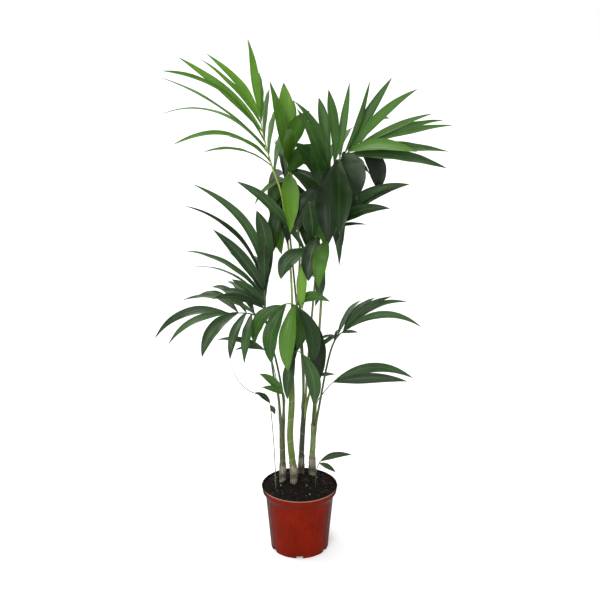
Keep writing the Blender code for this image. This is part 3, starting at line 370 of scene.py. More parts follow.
CENTRE_LOW = Frond(
    "frond_centre_low", "stem_back", 20,
    (
        (0.016, 0.02, 0.45), (0.013, -0.002, 0.55), (0.004, -0.028, 0.628), (-0.022, -0.042, 0.652),
        (-0.054, -0.046, 0.645),
    ),
    2,
    rows(
        (0.12, -78, 0.138, 0.037, 4, 0.14, 20, 0.48, -0.8),
        (0.32, -96, 0.15, 0.041, 14, 0.14, 20, 0.48, 0.9),
        (0.5, -86, 0.118, 0.037, -4, 0.14, 20, 0.48),
        (0.68, -104, 0.14, 0.039, 12, 0.16, 20, 0.48, -0.4),
        (0.88, -124, 0.11, 0.034, 6, 0.2, 30, 0.48),
        (0.25, 20, 0.09, 0.024, 24, 0.22, 30, 0.48),
    ),
    (0.1, -0.5, 0.9),
)

CENTRE_RIGHT = Frond(
    "frond_centre_right", "stem_right", 30,
    (
        (0.041, 0.036, 0.42), (0.047, 0.03, 0.56), (0.052, 0.012, 0.68), (0.053, -0.01, 0.752),
        (0.058, -0.03, 0.79), (0.072, -0.044, 0.808),
    ),
    3,
    rows(
        (0.4, -108, 0.112, 0.036, 22, 0.2, 20, 0.5),
        (0.75, -104, 0.12, 0.036, 8, 0.2, 20, 0.5),
        (0.92, -100, 0.07, 0.028, 26, 0.22, 20, 0.5),
        (0.3, 116, 0.12, 0.036, 14, 0.05, 25, 0.48),
        (0.6, 98, 0.13, 0.04, 6, 0.04, 25, 0.48),
        (0.88, 62, 0.105, 0.032, 12, 0.1, 30, 0.48),
    ),
    (-0.2, -0.5, 0.8),
    tone=Tone.BRIGHT,
)

BACK_LEFT = Frond(
    "frond_back_left", "stem_back", 110,
    (
        (0.006, 0.052, 0.48), (-0.006, 0.078, 0.6), (-0.018, 0.108, 0.72), (-0.026, 0.142, 0.8),
        (-0.03, 0.186, 0.862), (-0.034, 0.232, 0.9), (-0.036, 0.276, 0.918),
    ),
    3,
    spread((0.20, 0.36, 0.52, 0.68, 0.82, 0.95), (96, 118), (-38, -62), (0.17, 0.19), 0.024)
    + spread(HINDMOST, (-104, -118), (-34, -52), (0.16, 0.18), 0.024, 0.2, 30.0),
    (-0.8, 0.0, 0.6),
    tone=Tone.DARK,
)

BACK_RIGHT = Frond(
    "frond_back_right", "stem_right", 102,
    (
        (0.04, 0.05, 0.42), (0.05, 0.074, 0.56), (0.058, 0.1, 0.68), (0.066, 0.134, 0.762),
        (0.074, 0.18, 0.818), (0.082, 0.228, 0.846), (0.088, 0.272, 0.852),
    ),
    3,
    spread((0.20, 0.36, 0.52, 0.68, 0.82, 0.95), (84, 62), (-36, -60), (0.17, 0.19), 0.024)
    + spread(HINDMOST, (-76, -70), (-34, -50), (0.16, 0.18), 0.024, 0.2, 30.0),
    (0.8, 0.0, 0.6),
    tone=Tone.DARK,
)

BIFID_LEAF = Frond(
    "young_leaf_forked", "stem_right", 246,
    ((0.041, 0.014, 0.376), (0.056, 0.004, 0.408), (0.075, 0.0, 0.434), (0.09, 0.0, 0.447)),
    2,
    rows(
        (0.8, 2, 0.198, 0.024, -4, 0.165, 28, 0.45),
        (0.55, 6, 0.182, 0.026, 12, 0.05, 22, 0.42),
    ),
    (-0.2, -0.5, 0.8),
    0.0014,
    Tone.DARK,
)

SIDE_LEAF = Frond(
    "young_leaf_side", "stem_left", 250,
    (
        (-0.05, -0.026, 0.42), (-0.06, -0.046, 0.49), (-0.071, -0.05, 0.53), (-0.09, -0.05, 0.545),
    ),
    2,
    rows(
        (0.8, 166, 0.116, 0.016, 0, 0.1, 45, 0.4),
        (0.5, -176, 0.075, 0.012, -12, 0.12, 45, 0.45),
    ),
    (0.2, -0.5, 0.8),
    0.0014,
    Tone.DARK,
)

FRONT_LEAF = Frond(
    "young_leaf_front", "stem_left", 320,
    (
        (-0.037, -0.016, 0.372), (-0.035, -0.04, 0.41), (-0.038, -0.056, 0.434),
        (-0.048, -0.06, 0.446),
    ),
    1,
    rows(
        (0.78, 140, 0.072, 0.02, 0, 0.08, 25, 0.45),
        (0.52, 150, 0.062, 0.016, 16, 0.1, 25, 0.45),
    ),
    (0.3, -0.7, 0.6),
    0.0014,
    Tone.LEAF,
)

STUB_LEAF = Frond(
    "young_leaf_stub", "stem_right", 174,
    ((0.034, 0.02, 0.38), (0.034, 0.008, 0.44), (0.043, 0.0, 0.463)),
    1,
    rows(
        (0.9, 8, 0.048, 0.01, 0, 0.04, 45, 0.45),
        (0.6, 60, 0.05, 0.01, -20, 0.04, 45, 0.45),
    ),
    (-0.2, -0.6, 0.7),
    0.0014,
    Tone.DARK,
)

HANGING_LEAF = Frond(
    "young_leaf_hanging", "stem_front", 278,
    ((-0.02, -0.023, 0.514), (-0.006, -0.04, 0.535), (0.014, -0.048, 0.524)),
    0,
    rows(
        (0.95, -78, 0.13, 0.034, 2, 0.1, 10, 0.48),
        (0.4, -100, 0.112, 0.028, 14, 0.1, 10, 0.48),
    ),
    (0.3, -0.6, 0.7),
    0.0015,
    Tone.DARK,
)

SOIL_SEEDLING_LOW = Frond(
    "seedling_low", "", 0,
    (
        (0.0395, -0.03, 0.19), (0.042, -0.03, 0.222), (0.05, -0.03, 0.243), (0.06, -0.03, 0.25),
    ),
    1,
    rows(
        (0.8, 14, 0.08, 0.016, 0, 0.1, 35, 0.42),
        (0.5, -26, 0.046, 0.013, 8, 0.08, 35, 0.42),
    ),
    (-0.3, -0.5, 0.8),
    0.0011,
    Tone.DARK,
)

SOIL_SEEDLING_LEFT = Frond(
    "seedling_left", "", 0,
    (
        (-0.059, -0.03, 0.19), (-0.062, -0.03, 0.27), (-0.067, -0.03, 0.35), (-0.073, -0.03, 0.408),
    ),
    2,
    rows(
        (0.92, 142, 0.046, 0.014, 0, 0.1, 35, 0.45),
        (0.8, -60, 0.024, 0.012, 20, 0.1, 25, 0.45),
    ),
    (0.3, -0.6, 0.7),
    0.0011,
    Tone.DARK,
)

FRONDS = (
    UPPER_LEFT, UPPER_RIGHT, CENTRE_TOP, CENTRE_MIDDLE, MIDDLE_LEFT, LOWER_LEFT, LOWER_RIGHT,
    CENTRE_RIGHT, CENTRE_LOW, BACK_LEFT, BACK_RIGHT, BIFID_LEAF, SIDE_LEAF, FRONT_LEAF,
    STUB_LEAF, HANGING_LEAF, SOIL_SEEDLING_LOW, SOIL_SEEDLING_LEFT,
)

CROWDED = {
    "frond_centre_top": rows(
        (0.03, -106, 0.152, 0.034, 16, 0.1, 22, 0.46, -1.8),
        (0.06, -93, 0.14, 0.032, 24, 0.12, 22, 0.46, -1.6),
        (0.16, -84, 0.12, 0.03, 8, 0.12, 22, 0.46, -1.4),
    ),
    "frond_centre_middle": rows(
        (0.02, -92, 0.118, 0.026, 10, 0.08, 22, 0.46, 1.4),
        (0.2, -74, 0.11, 0.028, -14, 0.1, 22, 0.46, -1.4),
    ),
    "frond_centre_low": rows(
        (0.02, -75, 0.19, 0.036, -10, 0.08, 22, 0.46, -1.7),
        (0.05, -97, 0.175, 0.032, -12, 0.08, 22, 0.46, -1.2),
    ),
    "frond_upper_right": rows(
        (0.62, -84, 0.15, 0.04, -12, 0.12, 22, 0.46, -1.9),
        (0.22, -80, 0.16, 0.04, -16, 0.12, 22, 0.46, -1.9),
    ),
}


@cache
def box_of(node: str) -> tuple[Vector, Vector]:
    """The lowest and the highest corner of one of the frame's nodes."""
    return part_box(node)


def smooth_path(points: Path, step: float, parts: int = 1) -> tuple[Path, list[int]]:
    """A curve through the points.

    Args:
        points: the points it passes.
        step: the length of one stride.
        parts: the samples in each stride.

    Returns:
        The samples, and the index of each given point among them.
    """
    ends = [2 * points[0] - points[1]] + points + [2 * points[-1] - points[-2]]
    path = []
    marks = []
    for i in range(1, len(ends) - 2):
        a, b, c, d = ends[i - 1 : i + 3]
        marks.append(len(path))
        count = max(1, round((c - b).length / step)) * parts
        for j in range(count):
            t = j / count
            square = (2 * a - 5 * b + 4 * c - d) * t**2
            cube = (3 * b - a - 3 * c + d) * t**3
            path.append((2 * b + (c - a) * t + square + cube) / 2)
    marks.append(len(path))
    path.append(points[-1].copy())
    return path, marks


def lengths_along(path: Path) -> list[float]:
    """The distance of each point of a path from its start.

    Args:
        path: the points.

    Returns:
        A distance for each point, 0 for the first.
    """
    total = [0.0]
    for a, b in zip(path, path[1:]):
        total.append(total[-1] + (b - a).length)
    return total


def place_along(path: Path, totals: list[float], distance: float) -> tuple[int, float]:
    """The stride of a path that a distance falls in, and the share of it that is passed.

    Args:
        path: the points.
        totals: their distances from the start.
        distance: the distance to find.

    Returns:
        The index of the stride, and the share of it.
    """
    distance = min(max(distance, 0.0), totals[-1])
    i = 0
    while i < len(path) - 2 and totals[i + 1] < distance:
        i += 1
    return i, (distance - totals[i]) / (totals[i + 1] - totals[i])


def tangents_of(path: Path) -> Path:
    """The direction at each point of a path."""
    last = len(path) - 1
    return [(path[min(i + 1, last)] - path[max(i - 1, 0)]).normalized() for i in range(last + 1)]


def frames_along(path: Path, upper: Vector) -> list[tuple[Vector, Vector]]:
    """The side and the upper direction at each point of a path, carried back from its end.

    Args:
        path: the points.
        upper: the way that the upper side faces at the end.

    Returns:
        The two directions at each point.
    """
    tangents = tangents_of(path)
    normal = upper.copy()
    found = []
    for along in reversed(tangents):
        normal = (normal - along * normal.dot(along)).normalized()
        found.append((normal.cross(along), normal.copy()))
    found.reverse()
    return found


def eased(value: float, low: float, high: float) -> float:
    """0 below low, 1 above high and a smooth rise between."""
    share = min(max((value - low) / (high - low), 0.0), 1.0)
    return share * share * (3 - 2 * share)


class Skin:
    """The points, faces and shading marks of one piece as it is put together."""

    def __init__(self) -> None:
        """Starts with nothing."""
        self.points: list[np.ndarray] = []
        self.lay: list[np.ndarray] = []
        self.mark: list[np.ndarray] = []
        self.faces: list[tuple[int, ...]] = []
        self.finishes: list[int] = []
        self.count = 0

    def add(self, points: np.ndarray, lay: np.ndarray, mark: Point) -> int:
        """Takes points in.

        Args:
            points: their places, a row each.
            lay: for each, how far along and across its part it lies, and 1 on an underside.
            mark: tint, dryness and a chance number of the part.

        Returns:
            The index of the first.
        """
        first = self.count
        self.points.append(points)
        self.lay.append(lay)
        self.mark.append(np.tile(np.array(mark, float), (len(points), 1)))
        self.count += len(points)
        return first

    def cover(self, faces: list[tuple[int, ...]], finish: int) -> None:
        """Adds faces in one of the piece's finishes."""
        self.faces.extend(faces)
        self.finishes.extend([finish] * len(faces))

    def loft(
        self, first: int, rings: int, around: int, finish: int, capped: tuple[bool, bool]
    ) -> None:
        """Joins rings of points into a tube.

        Args:
            first: the index of the first ring's first point.
            rings: how many rings there are.
            around: how many points each has.
            finish: the finish of the faces.
            capped: whether the first and the last ring are closed.
        """
        last = first + (rings - 1) * around
        for low in range(first, last, around):
            self.join(low, low + around, around, finish)
        if capped[0]:
            self.cover([tuple(range(first + around - 1, first - 1, -1))], finish)
        if capped[1]:
            self.cover([tuple(range(last, last + around))], finish)

    def join(self, low: int, high: int, around: int, finish: int) -> None:
        """Joins two rings of points, given by the index of the first point of each."""
        for k in range(around):
            after = (k + 1) % around
            self.cover([(low + k, low + after, high + after, high + k)], finish)

    def tube(
        self,
        rings: Path,
        marks: list[Point],
        mark: Point,
        around: int,
        finish: int = 0,
    ) -> None:
        """Takes in rings of points and joins them into a tube with closed ends.

        Args:
            rings: the points, one ring after the other.
            marks: for each, how far along and across its part it lies, and its own third number.
            mark: tint, dryness and a chance number of the part.
            around: how many points each ring has.
            finish: the finish of the faces.
        """
        first = self.add(np.array(rings), np.array(marks), mark)
        self.loft(first, len(rings) // around, around, finish, (True, True))

    def sleeve(self, rings: Path, marks: list[Point], mark: Point, around: int) -> None:
        """Takes in rings of points like a tube, but joins the last ring to the first."""
        first = self.add(np.array(rings), np.array(marks), mark)
        self.loft(first, len(rings) // around, around, 0, (False, False))
        self.join(self.count - around, first, around, 0)

    def made(self, name: str, materials: list[Material], sharp: float = 50.0) -> Piece:
        """The piece as an object with its shading marks.

        Args:
            name: the object's name.
            materials: one for each finish number.
            sharp: the angle in degrees from which an edge is drawn sharp.

        Returns:
            The object.
        """
        mesh = bpy.data.meshes.new(name)
        mesh.from_pydata(np.concatenate(self.points).tolist(), [], self.faces)
        for attribute, values in (("lay", self.lay), ("mark", self.mark)):
            made = mesh.attributes.new(attribute, "FLOAT_VECTOR", "POINT")
            made.data.foreach_set("vector", np.concatenate(values).astype(np.float32).ravel())
        for material in materials:
            mesh.materials.append(material)
        mesh.polygons.foreach_set("material_index", np.array(self.finishes, np.int32))
        mesh.shade_smooth()
        mesh.set_sharp_from_angle(angle=radians(sharp))
        return placed(name, mesh)


def placed(name: str, data: Optional[bpy.types.ID]) -> Piece:
    """An object put into the scene."""
    thing = bpy.data.objects.new(name, data)
    bpy.context.scene.collection.objects.link(thing)
    return thing


def outward(turn: float, side: Vector, upper: Vector) -> Vector:
    """The direction at a turn from one direction toward another, both square to a path."""
    return cos(turn) * side + sin(turn) * upper


def turns_of(count: int) -> list[tuple[int, float]]:
    """The number and the turn of each of some points spread evenly round a ring."""
    return [(k, TURN * k / count) for k in range(count)]


def settled(piece: Piece, slot: str, *nodes: str) -> Piece:
    """Fixes a piece to the plant's one body and hides the frame's nodes that it stands for.

    Args:
        piece: the piece.
        slot: the name of its finish; not used.
        nodes: the frame's nodes that it stands for, if any.

    Returns:
        The piece.
    """
    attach(piece, ROOT)
    if nodes:
        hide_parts(*nodes)
    LOG.info("%s: %d faces", piece.name, len(piece.data.polygons))
    return piece


class Graph:
    """A tree of shading nodes, with short calls for those that the finishes take."""

    def __init__(self, name: str, world: bool = False) -> None:
        """Starts the empty tree of a material, or of the world round the plant.

        Args:
            name: its name.
            world: whether it is the world.
        """
        self.owner = (bpy.data.worlds if world else bpy.data.materials).new(name)
        self.out = "OutputWorld" if world else "OutputMaterial"
        self.owner.use_nodes = True
        self.tree = self.owner.node_tree
        self.tree.nodes.clear()

    def add(self, kind: str, feeds: dict[str, Source], **settings: object) -> bpy.types.Node:
        """A node.

        Args:
            kind: its type's name, without the leading ShaderNode.
            feeds: a value or another node's output for each named input.
            settings: its own properties.

        Returns:
            The node.
        """
        node = self.tree.nodes.new("ShaderNode" + kind)
        for name, value in settings.items():
            setattr(node, name, value)
        for name, value in feeds.items():
            self.feed(node.inputs[name], value)
        return node

    def feed(self, socket: Socket, value: Source) -> None:
        """Links an output to an input, or sets the input's value.

        Args:
            socket: the input.
            value: another node's output, or a value.
        """
        if isinstance(value, Socket):
            self.tree.links.new(value, socket)
        elif isinstance(value, tuple) and len(value) == 3 and socket.type == "RGBA":
            socket.default_value = (*value, 1.0)
        else:
            socket.default_value = value

    def marks(self, name: str) -> tuple[Socket, ...]:
        """The three numbers of a shading mark."""
        vector = self.add("Attribute", {}, attribute_name=name).outputs["Vector"]
        return tuple(self.add("SeparateXYZ", {"Vector": vector}).outputs)

    def place(self, scale: Point = (1.0, 1.0, 1.0)) -> Socket:
        """The place of a point on the object, stretched by a scale."""
        spot = self.add("TexCoord", {}).outputs["Object"]
        return self.add("Mapping", {"Vector": spot, "Scale": scale}).outputs[0]

    def grain(self, scale: float, detail: float, at: Socket, rough: float = 0.5) -> Socket:
        """Cloudy noise from 0 to 1."""
        feeds = {"Vector": at, "Scale": scale, "Detail": detail, "Roughness": rough}
        return self.add("TexNoise", feeds).outputs[0]

    def streaks(
        self, along: float, across: float, shift: Source, detail: float, rough: float = 0.5
    ) -> Socket:
        """Noise drawn out along a part.

        Args:
            along: how fine it is along the part.
            across: how fine it is across the part.
            shift: a number that makes it differ from one part to the next.
            detail: how many finer layers it has.
            rough: how strong those are.

        Returns:
            The noise, from 0 to 1.
        """
        run, aside, _ = self.marks("lay")
        feeds = {"X": self.times(run, along), "Y": self.times(aside, across), "Z": shift}
        return self.grain(1.0, detail, self.add("CombineXYZ", feeds).outputs[0], rough)

    def sum(self, a: Source, b: Source) -> Socket:
        """Two numbers added."""
        return self.math("ADD", a, b)

    def times(self, a: Source, b: Source) -> Socket:
        """Two numbers multiplied."""
        return self.math("MULTIPLY", a, b)

    def larger(self, a: Source, b: Source) -> Socket:
        """The larger of two numbers."""
        return self.math("MAXIMUM", a, b)

    def weigh(self, *parts: tuple[Source, float]) -> Socket:
        """A sum of numbers, each times its weight."""
        return reduce(self.sum, [self.times(value, weight) for value, weight in parts])

    def math(self, operation: str, a: Source, b: Source = 0.0) -> Socket:
        """One step of arithmetic.

        Args:
            operation: the operation's name in Blender.
            a: the first number.
            b: the second.

        Returns:
            The result.
        """
        node = self.add("Math", {}, operation=operation)
        self.feed(node.inputs[0], a)
        self.feed(node.inputs[1], b)
        return node.outputs[0]

    def fade(
        self, value: Source, low: float, high: float, start: float = 0.0, end: float = 1.0
    ) -> Socket:
        """A number that runs from start to end as the value runs from low to high."""
        feeds = {"Value": value, "From Min": low, "From Max": high, "To Min": start, "To Max": end}
        return self.add("MapRange", feeds).outputs[0]

    def blend(self, share: Source, a: Union[Color, Source], b: Union[Color, Source]) -> Socket:
        """One colour turned into another by a share.

        Args:
            share: how much of the second shows.
            a: the first colour.
            b: the second.

        Returns:
            The colour between.
        """
        node = self.add("Mix", {}, data_type="RGBA")
        for number, value in ((0, share), (6, a), (7, b)):
            self.feed(node.inputs[number], value)
        return node.outputs[2]

    def over(self, color: Socket, *coats: tuple[Source, Color]) -> Socket:
        """A colour with others laid over it in turn, each by its share."""
        for share, coat in coats:
            color = self.blend(share, color, coat)
        return color

    def relief(self, height: Source, strength: float, depth: float) -> Socket:
        """A surface roughened by a height."""
        feeds = {"Height": height, "Strength": strength, "Distance": depth}
        return self.add("Bump", feeds).outputs[0]

    def upward(self) -> Socket:
        """How nearly the surface faces the sky."""
        normal = self.add("NewGeometry", {}).outputs["Normal"]
        return self.add("SeparateXYZ", {"Vector": normal}).outputs["Z"]

    def coat(
        self, color: Source, rough: Source, normal: Socket, shine: float, **more: Source
    ) -> Socket:
        """A surface of one colour.

        Args:
            color: its colour.
            rough: its roughness.
            normal: the relief that it follows.
            shine: the strength of its highlight.
            more: values for other inputs.

        Returns:
            The surface.
        """
        feeds = {"Base Color": color, "Roughness": rough, "Normal": normal}
        return self.add("BsdfPrincipled", {**feeds, "Specular IOR Level": shine, **more}).outputs[0]

    def done(self, surface: Socket) -> Union[Material, bpy.types.World]:
        """The finished material or world."""
        out = self.add(self.out, {})
        self.tree.links.new(surface, out.inputs["Surface"])
        return self.owner


@dataclass(frozen=True)
class LeafFinish:
    """A wax-coated leaflet with a midrib, fine veins, paler undersides, a pale painted sheen where
    it faces up, painted shade and painted brightness set per leaflet, and dry tips.
    """

    name: str
    deep: Color
    fresh: Color
    glow: Color
    through: float  # share of the light that passes
    gloss: float = 0.36
    veins: float = 58.0  # how closely the fine lines stand
    pleats: float = 23.0  # how closely the broad lines stand
    rib: Color = (0.155, 0.215, 0.055)
    pale: Color = (0.075, 0.120, 0.055)
    dry: Color = (0.105, 0.080, 0.050)
    # Painted shade for leaflets whose light value is low.
    shaded: Color = (0.0055, 0.0125, 0.0042)
    # Painted brightness for leaflets whose light value is high.
    painted_bright: Color = (0.135, 0.285, 0.026)
    # Painted sheen colour where a leaflet faces up.
    painted_sheen_color: Color = (0.200, 0.270, 0.160)

    def material(self) -> Material:
        """Builds the finish.

        Returns:
            The material.
        """
        g = Graph(self.name)
        along, across, under = g.marks("lay")
        tint, dryness, chance = g.marks("mark")
        spot = g.place()
        blotch = g.grain(24.0, 3.0, spot)
        speck = g.grain(900.0, 2.0, spot)
        fleck = g.streaks(8.0, 11.2, g.times(chance, 64.0), 4.0)
        wide = g.math("ABSOLUTE", across)
        veins = g.math("SINE", g.times(across, self.veins))
        lines = g.sum(g.times(veins, 0.5), g.math("SINE", g.times(across, self.pleats)))
        # Painted shade: leaflets with a low light value turn nearly black.
        painted_shade = g.fade(tint, -0.55, -1.9)
        # Painted sheen: the parts that face up are paler, as if catching the light from above.
        painted_sheen = g.times(g.fade(g.upward(), 0.58, 0.95), g.fade(blotch, 0.35, 0.65, 0.14, 0.42))
        limit = g.sum(g.times(dryness, -0.055), g.sum(0.985, g.times(fleck, -0.05)))
        ended = g.fade(g.math("SUBTRACT", along, limit), 0.0, 0.05)
        withered = g.fade(g.sum(fleck, g.times(dryness, 0.30)), 0.66, 0.86)
        scorch = g.times(g.fade(wide, 0.80, 1.0), withered)
        dried = g.larger(g.times(ended, 0.85), g.times(scorch, 0.7))
        level = g.weigh((blotch, 0.55), (fleck, 0.5), (tint, 0.42))
        green = g.over(
            g.blend(g.fade(level, 0.30, 0.82), self.deep, self.fresh),
            (g.fade(lines, 0.7, 1.5, 0.0, 0.16), self.rib),
            (g.fade(lines, -1.5, -0.6, 0.20, 0.0), self.deep),
            (g.fade(wide, 0.035, 0.085, 0.34, 0.0), self.rib),
            (g.fade(wide, 0.94, 1.0, 0.0, 0.20), self.rib),
            (g.times(under, 0.40), self.pale),
            (g.times(painted_shade, 0.93), self.shaded),
            (g.fade(tint, 0.7, 2.0, 0.0, 0.85), self.painted_bright),
            (painted_sheen, self.painted_sheen_color),
            (dried, self.dry),
        )
        ridge = g.fade(wide, 0.02, 0.11, 1.0, 0.0)
        normal = g.relief(g.weigh((lines, 0.22), (ridge, 1.0), (speck, 0.25)), 0.55, 0.0004)
        rough = g.fade(blotch, 0.3, 0.7, self.gloss - 0.06, self.gloss + 0.14)
        face = g.coat(green, g.sum(rough, g.times(under, 0.22)), normal, 0.34, IOR=1.42)
        lit = g.blend(0.62, green, self.glow)
        lit = g.over(lit, (dried, self.dry), (g.times(painted_shade, 0.9), self.shaded))
        passed = g.add("BsdfTranslucent", {"Color": lit, "Normal": normal}).outputs[0]
        mixed = g.add("MixShader", {"Fac": self.through})
        g.feed(mixed.inputs[1], face)
        g.feed(mixed.inputs[2], passed)
        return g.done(mixed.outputs[0])


@dataclass(frozen=True)
class StalkFinish:
    """A smooth green stalk with fine lengthwise fibres and a paler groove."""

    name: str
    deep: Color
    fresh: Color
    scurf: Color = (0.13, 0.10, 0.06)

    def material(self) -> Material:
        """Builds the finish.

        Returns:
            The material.
        """
        g = Graph(self.name)
        groove = g.marks("lay")[2]
        tint, _, chance = g.marks("mark")
        fibre = g.streaks(30.0, 46.0, g.times(chance, 30.0), 4.0)
        cloud = g.grain(22.0, 3.0, g.place())
        level = g.weigh((fibre, 0.5), (cloud, 0.45), (tint, 0.35))
        crust = g.fade(g.grain(260.0, 3.0, g.place((1.0, 1.0, 0.35))), 0.62, 0.74)
        green = g.blend(g.fade(level, 0.30, 0.90), self.deep, self.fresh)
        coats = ((g.times(groove, 0.35), self.fresh), (g.times(crust, 0.55), self.scurf))
        normal = g.relief(g.sum(fibre, g.times(crust, 0.4)), 0.45, 0.0004)
        rough = g.fade(cloud, 0.3, 0.7, 0.36, 0.56)
        return g.done(g.coat(g.over(green, *coats), rough, normal, 0.30))


@dataclass(frozen=True)
class StemFinish:
    """A ringed stem: fibrous and bleached at its foot, green above, with scars at its joints."""

    name: str
    foot: Color
    deep: Color
    fresh: Color
    streak: Color
    scar: Color = (0.20, 0.19, 0.12)
    bark: Color = (0.040, 0.030, 0.018)
    green_from: float = 0.25  # share of its height

    def material(self) -> Material:
        """Builds the finish.

        Returns:
            The material.
        """
        g = Graph(self.name)
        along, _, ring = g.marks("lay")
        fibre = g.streaks(12.0, 62.0, 3.0, 5.0, 0.62)
        broad = g.streaks(7.0, 9.0, 7.0, 3.0)
        level = g.weigh((fibre, 0.6), (broad, 0.6))
        green = g.blend(g.fade(level, 0.42, 0.80), self.deep, self.fresh)
        green = g.over(green, (g.fade(fibre, 0.56, 0.72, 0.0, 0.65), self.streak))
        bleach = g.grain(150.0, 4.0, g.place((1.0, 1.0, 0.5)), 0.6)
        level = g.weigh((fibre, 0.6), (bleach, 0.5))
        husky = g.blend(g.fade(level, 0.46, 0.72), self.bark, self.foot)
        edge = g.sum(along, g.fade(broad, 0.3, 0.7, -0.07, 0.07))
        low = self.green_from - 0.06
        color = g.blend(g.fade(edge, low, self.green_from + 0.07), husky, green)
        color = g.over(color, (g.times(ring, 0.75), self.scar))
        normal = g.relief(g.sum(fibre, g.times(ring, -0.6)), 0.6, 0.0006)
        rough = g.fade(edge, low, self.green_from + 0.2, 0.85, 0.46)
        return g.done(g.coat(color, rough, normal, 0.30))


@dataclass(frozen=True)
class HuskFinish:
    """Dry net-like fibre of an old leaf base."""

    name: str = "dry_husk"
    dark: Color = (0.030, 0.022, 0.013)
    light: Color = (0.36, 0.33, 0.26)

    def material(self) -> Material:
        """Builds the finish.

        Returns:
            The material.
        """
        g = Graph(self.name)
        tint, _, chance = g.marks("mark")
        shift = g.times(chance, 30.0)
        strand = g.streaks(2.2, 70.0, shift, 5.0, 0.65)
        weft = g.streaks(16.0, 9.0, shift, 3.0)
        level = g.weigh((strand, 0.8), (weft, 0.3), (tint, 0.25))
        color = g.blend(g.fade(level, 0.46, 0.72), self.dark, self.light)
        rough = g.fade(strand, 0.3, 0.7, 0.92, 0.74)
        return g.done(g.coat(color, rough, g.relief(level, 0.9, 0.0008), 0.22))


@dataclass(frozen=True)
class PotFinish:
    """Moulded plastic: fine grain, faint draw marks, dust near the foot and the rim with painted
    bounce light at the foot, painted shade at its edges and on the rim's sides, a darker back lip
    and inner wall, and a painted lip highlight.
    """

    name: str = "moulded_plastic"
    deep: Color = (0.098, 0.0048, 0.0012)
    warm: Color = (0.170, 0.0085, 0.0014)
    dust: Color = (0.20, 0.070, 0.035)
    # Painted shade where the surface turns away from the camera.
    edge: Color = (0.034, 0.0070, 0.0050)
    # Dark rim colour: painted shade on the rim band's sides, and the darker back lip and inner
    # wall.
    dark_rim_color: Color = (0.016, 0.0085, 0.0060)
    # Painted highlight along the top of the lip.
    lip: Color = (0.9, 0.55, 0.40)
    per_radius: float = 10.5  # turns metres from the middle into shares of the rim's radius

    def material(self) -> Material:
        """Builds the finish.

        Returns:
            The material.
        """
        g = Graph(self.name)
        along, inside, _ = g.marks("lay")
        spot = g.place()
        right, back, _ = g.add("SeparateXYZ", {"Vector": spot}).outputs
        cloud = g.grain(17.0, 4.0, spot)
        draw = g.grain(1.0, 4.0, g.place((420.0, 420.0, 7.0)), 0.6)
        pore = g.grain(1500.0, 2.0, spot)
        patch_noise = g.grain(120.0, 5.0, spot, 0.65)
        scratch = g.fade(g.grain(240.0, 3.0, g.place((1.0, 1.0, 0.06))), 0.64, 0.70)
        # Dust near the foot and the rim; near the foot it also paints the floor's bounce light.
        band = g.larger(g.fade(along, 0.10, 0.0), g.fade(along, 0.86, 0.93, 0.0, 0.4))
        dust_and_bounce = g.times(g.sum(band, 0.22), g.fade(g.grain(70.0, 5.0, spot, 0.65), 0.48, 0.72))
        # Painted shade: the rim band darkens toward the left and the right sides.
        aside = g.math("ABSOLUTE", g.times(right, self.per_radius))
        aside = g.fade(g.sum(aside, g.times(patch_noise, 0.3)), 0.96, 1.08)
        painted_side_shade = g.times(g.fade(along, 0.905, 0.925), aside)
        # The lip is darker over its back half.
        behind = g.sum(g.times(back, self.per_radius), g.times(patch_noise, 0.5))
        back_lip_dark = g.times(g.fade(along, 0.93, 0.96), g.fade(behind, -0.15, 0.20))
        # Painted shade on the rim's sides, joined with the darker back lip and inner wall.
        rim_darkened = g.larger(inside, g.larger(back_lip_dark, g.times(painted_side_shade, 0.9)))
        # Painted shade: darker where the surface turns away from the camera.
        turned = g.add("LayerWeight", {"Blend": 0.5}).outputs["Facing"]
        # Painted highlight: a thin pale line along the lip, weaker where the rim is darkened.
        painted_lip_highlight = g.times(g.fade(along, 0.985, 1.0), g.sum(0.30, g.times(rim_darkened, -0.30)))
        level = g.weigh((cloud, 0.6), (draw, 0.45))
        color = g.over(
            g.blend(g.fade(level, 0.35, 0.72), self.deep, self.warm),
            (g.times(dust_and_bounce, 0.20), self.dust),
            (g.times(scratch, 0.08), self.dust),
            (g.fade(turned, 0.45, 0.80, 0.0, 0.90), self.edge),
            (rim_darkened, self.dark_rim_color),
            (painted_lip_highlight, self.lip),
        )
        rim_relief = g.times(rim_darkened, patch_noise)
        height = g.weigh((pore, 0.5), (draw, 0.8), (scratch, -0.3), (rim_relief, 1.5))
        rough = g.sum(g.fade(cloud, 0.3, 0.7, 0.36, 0.48), g.times(g.larger(dust_and_bounce, rim_darkened), 0.3))
        return g.done(g.coat(color, rough, g.relief(height, 0.22, 0.0003), 0.03))


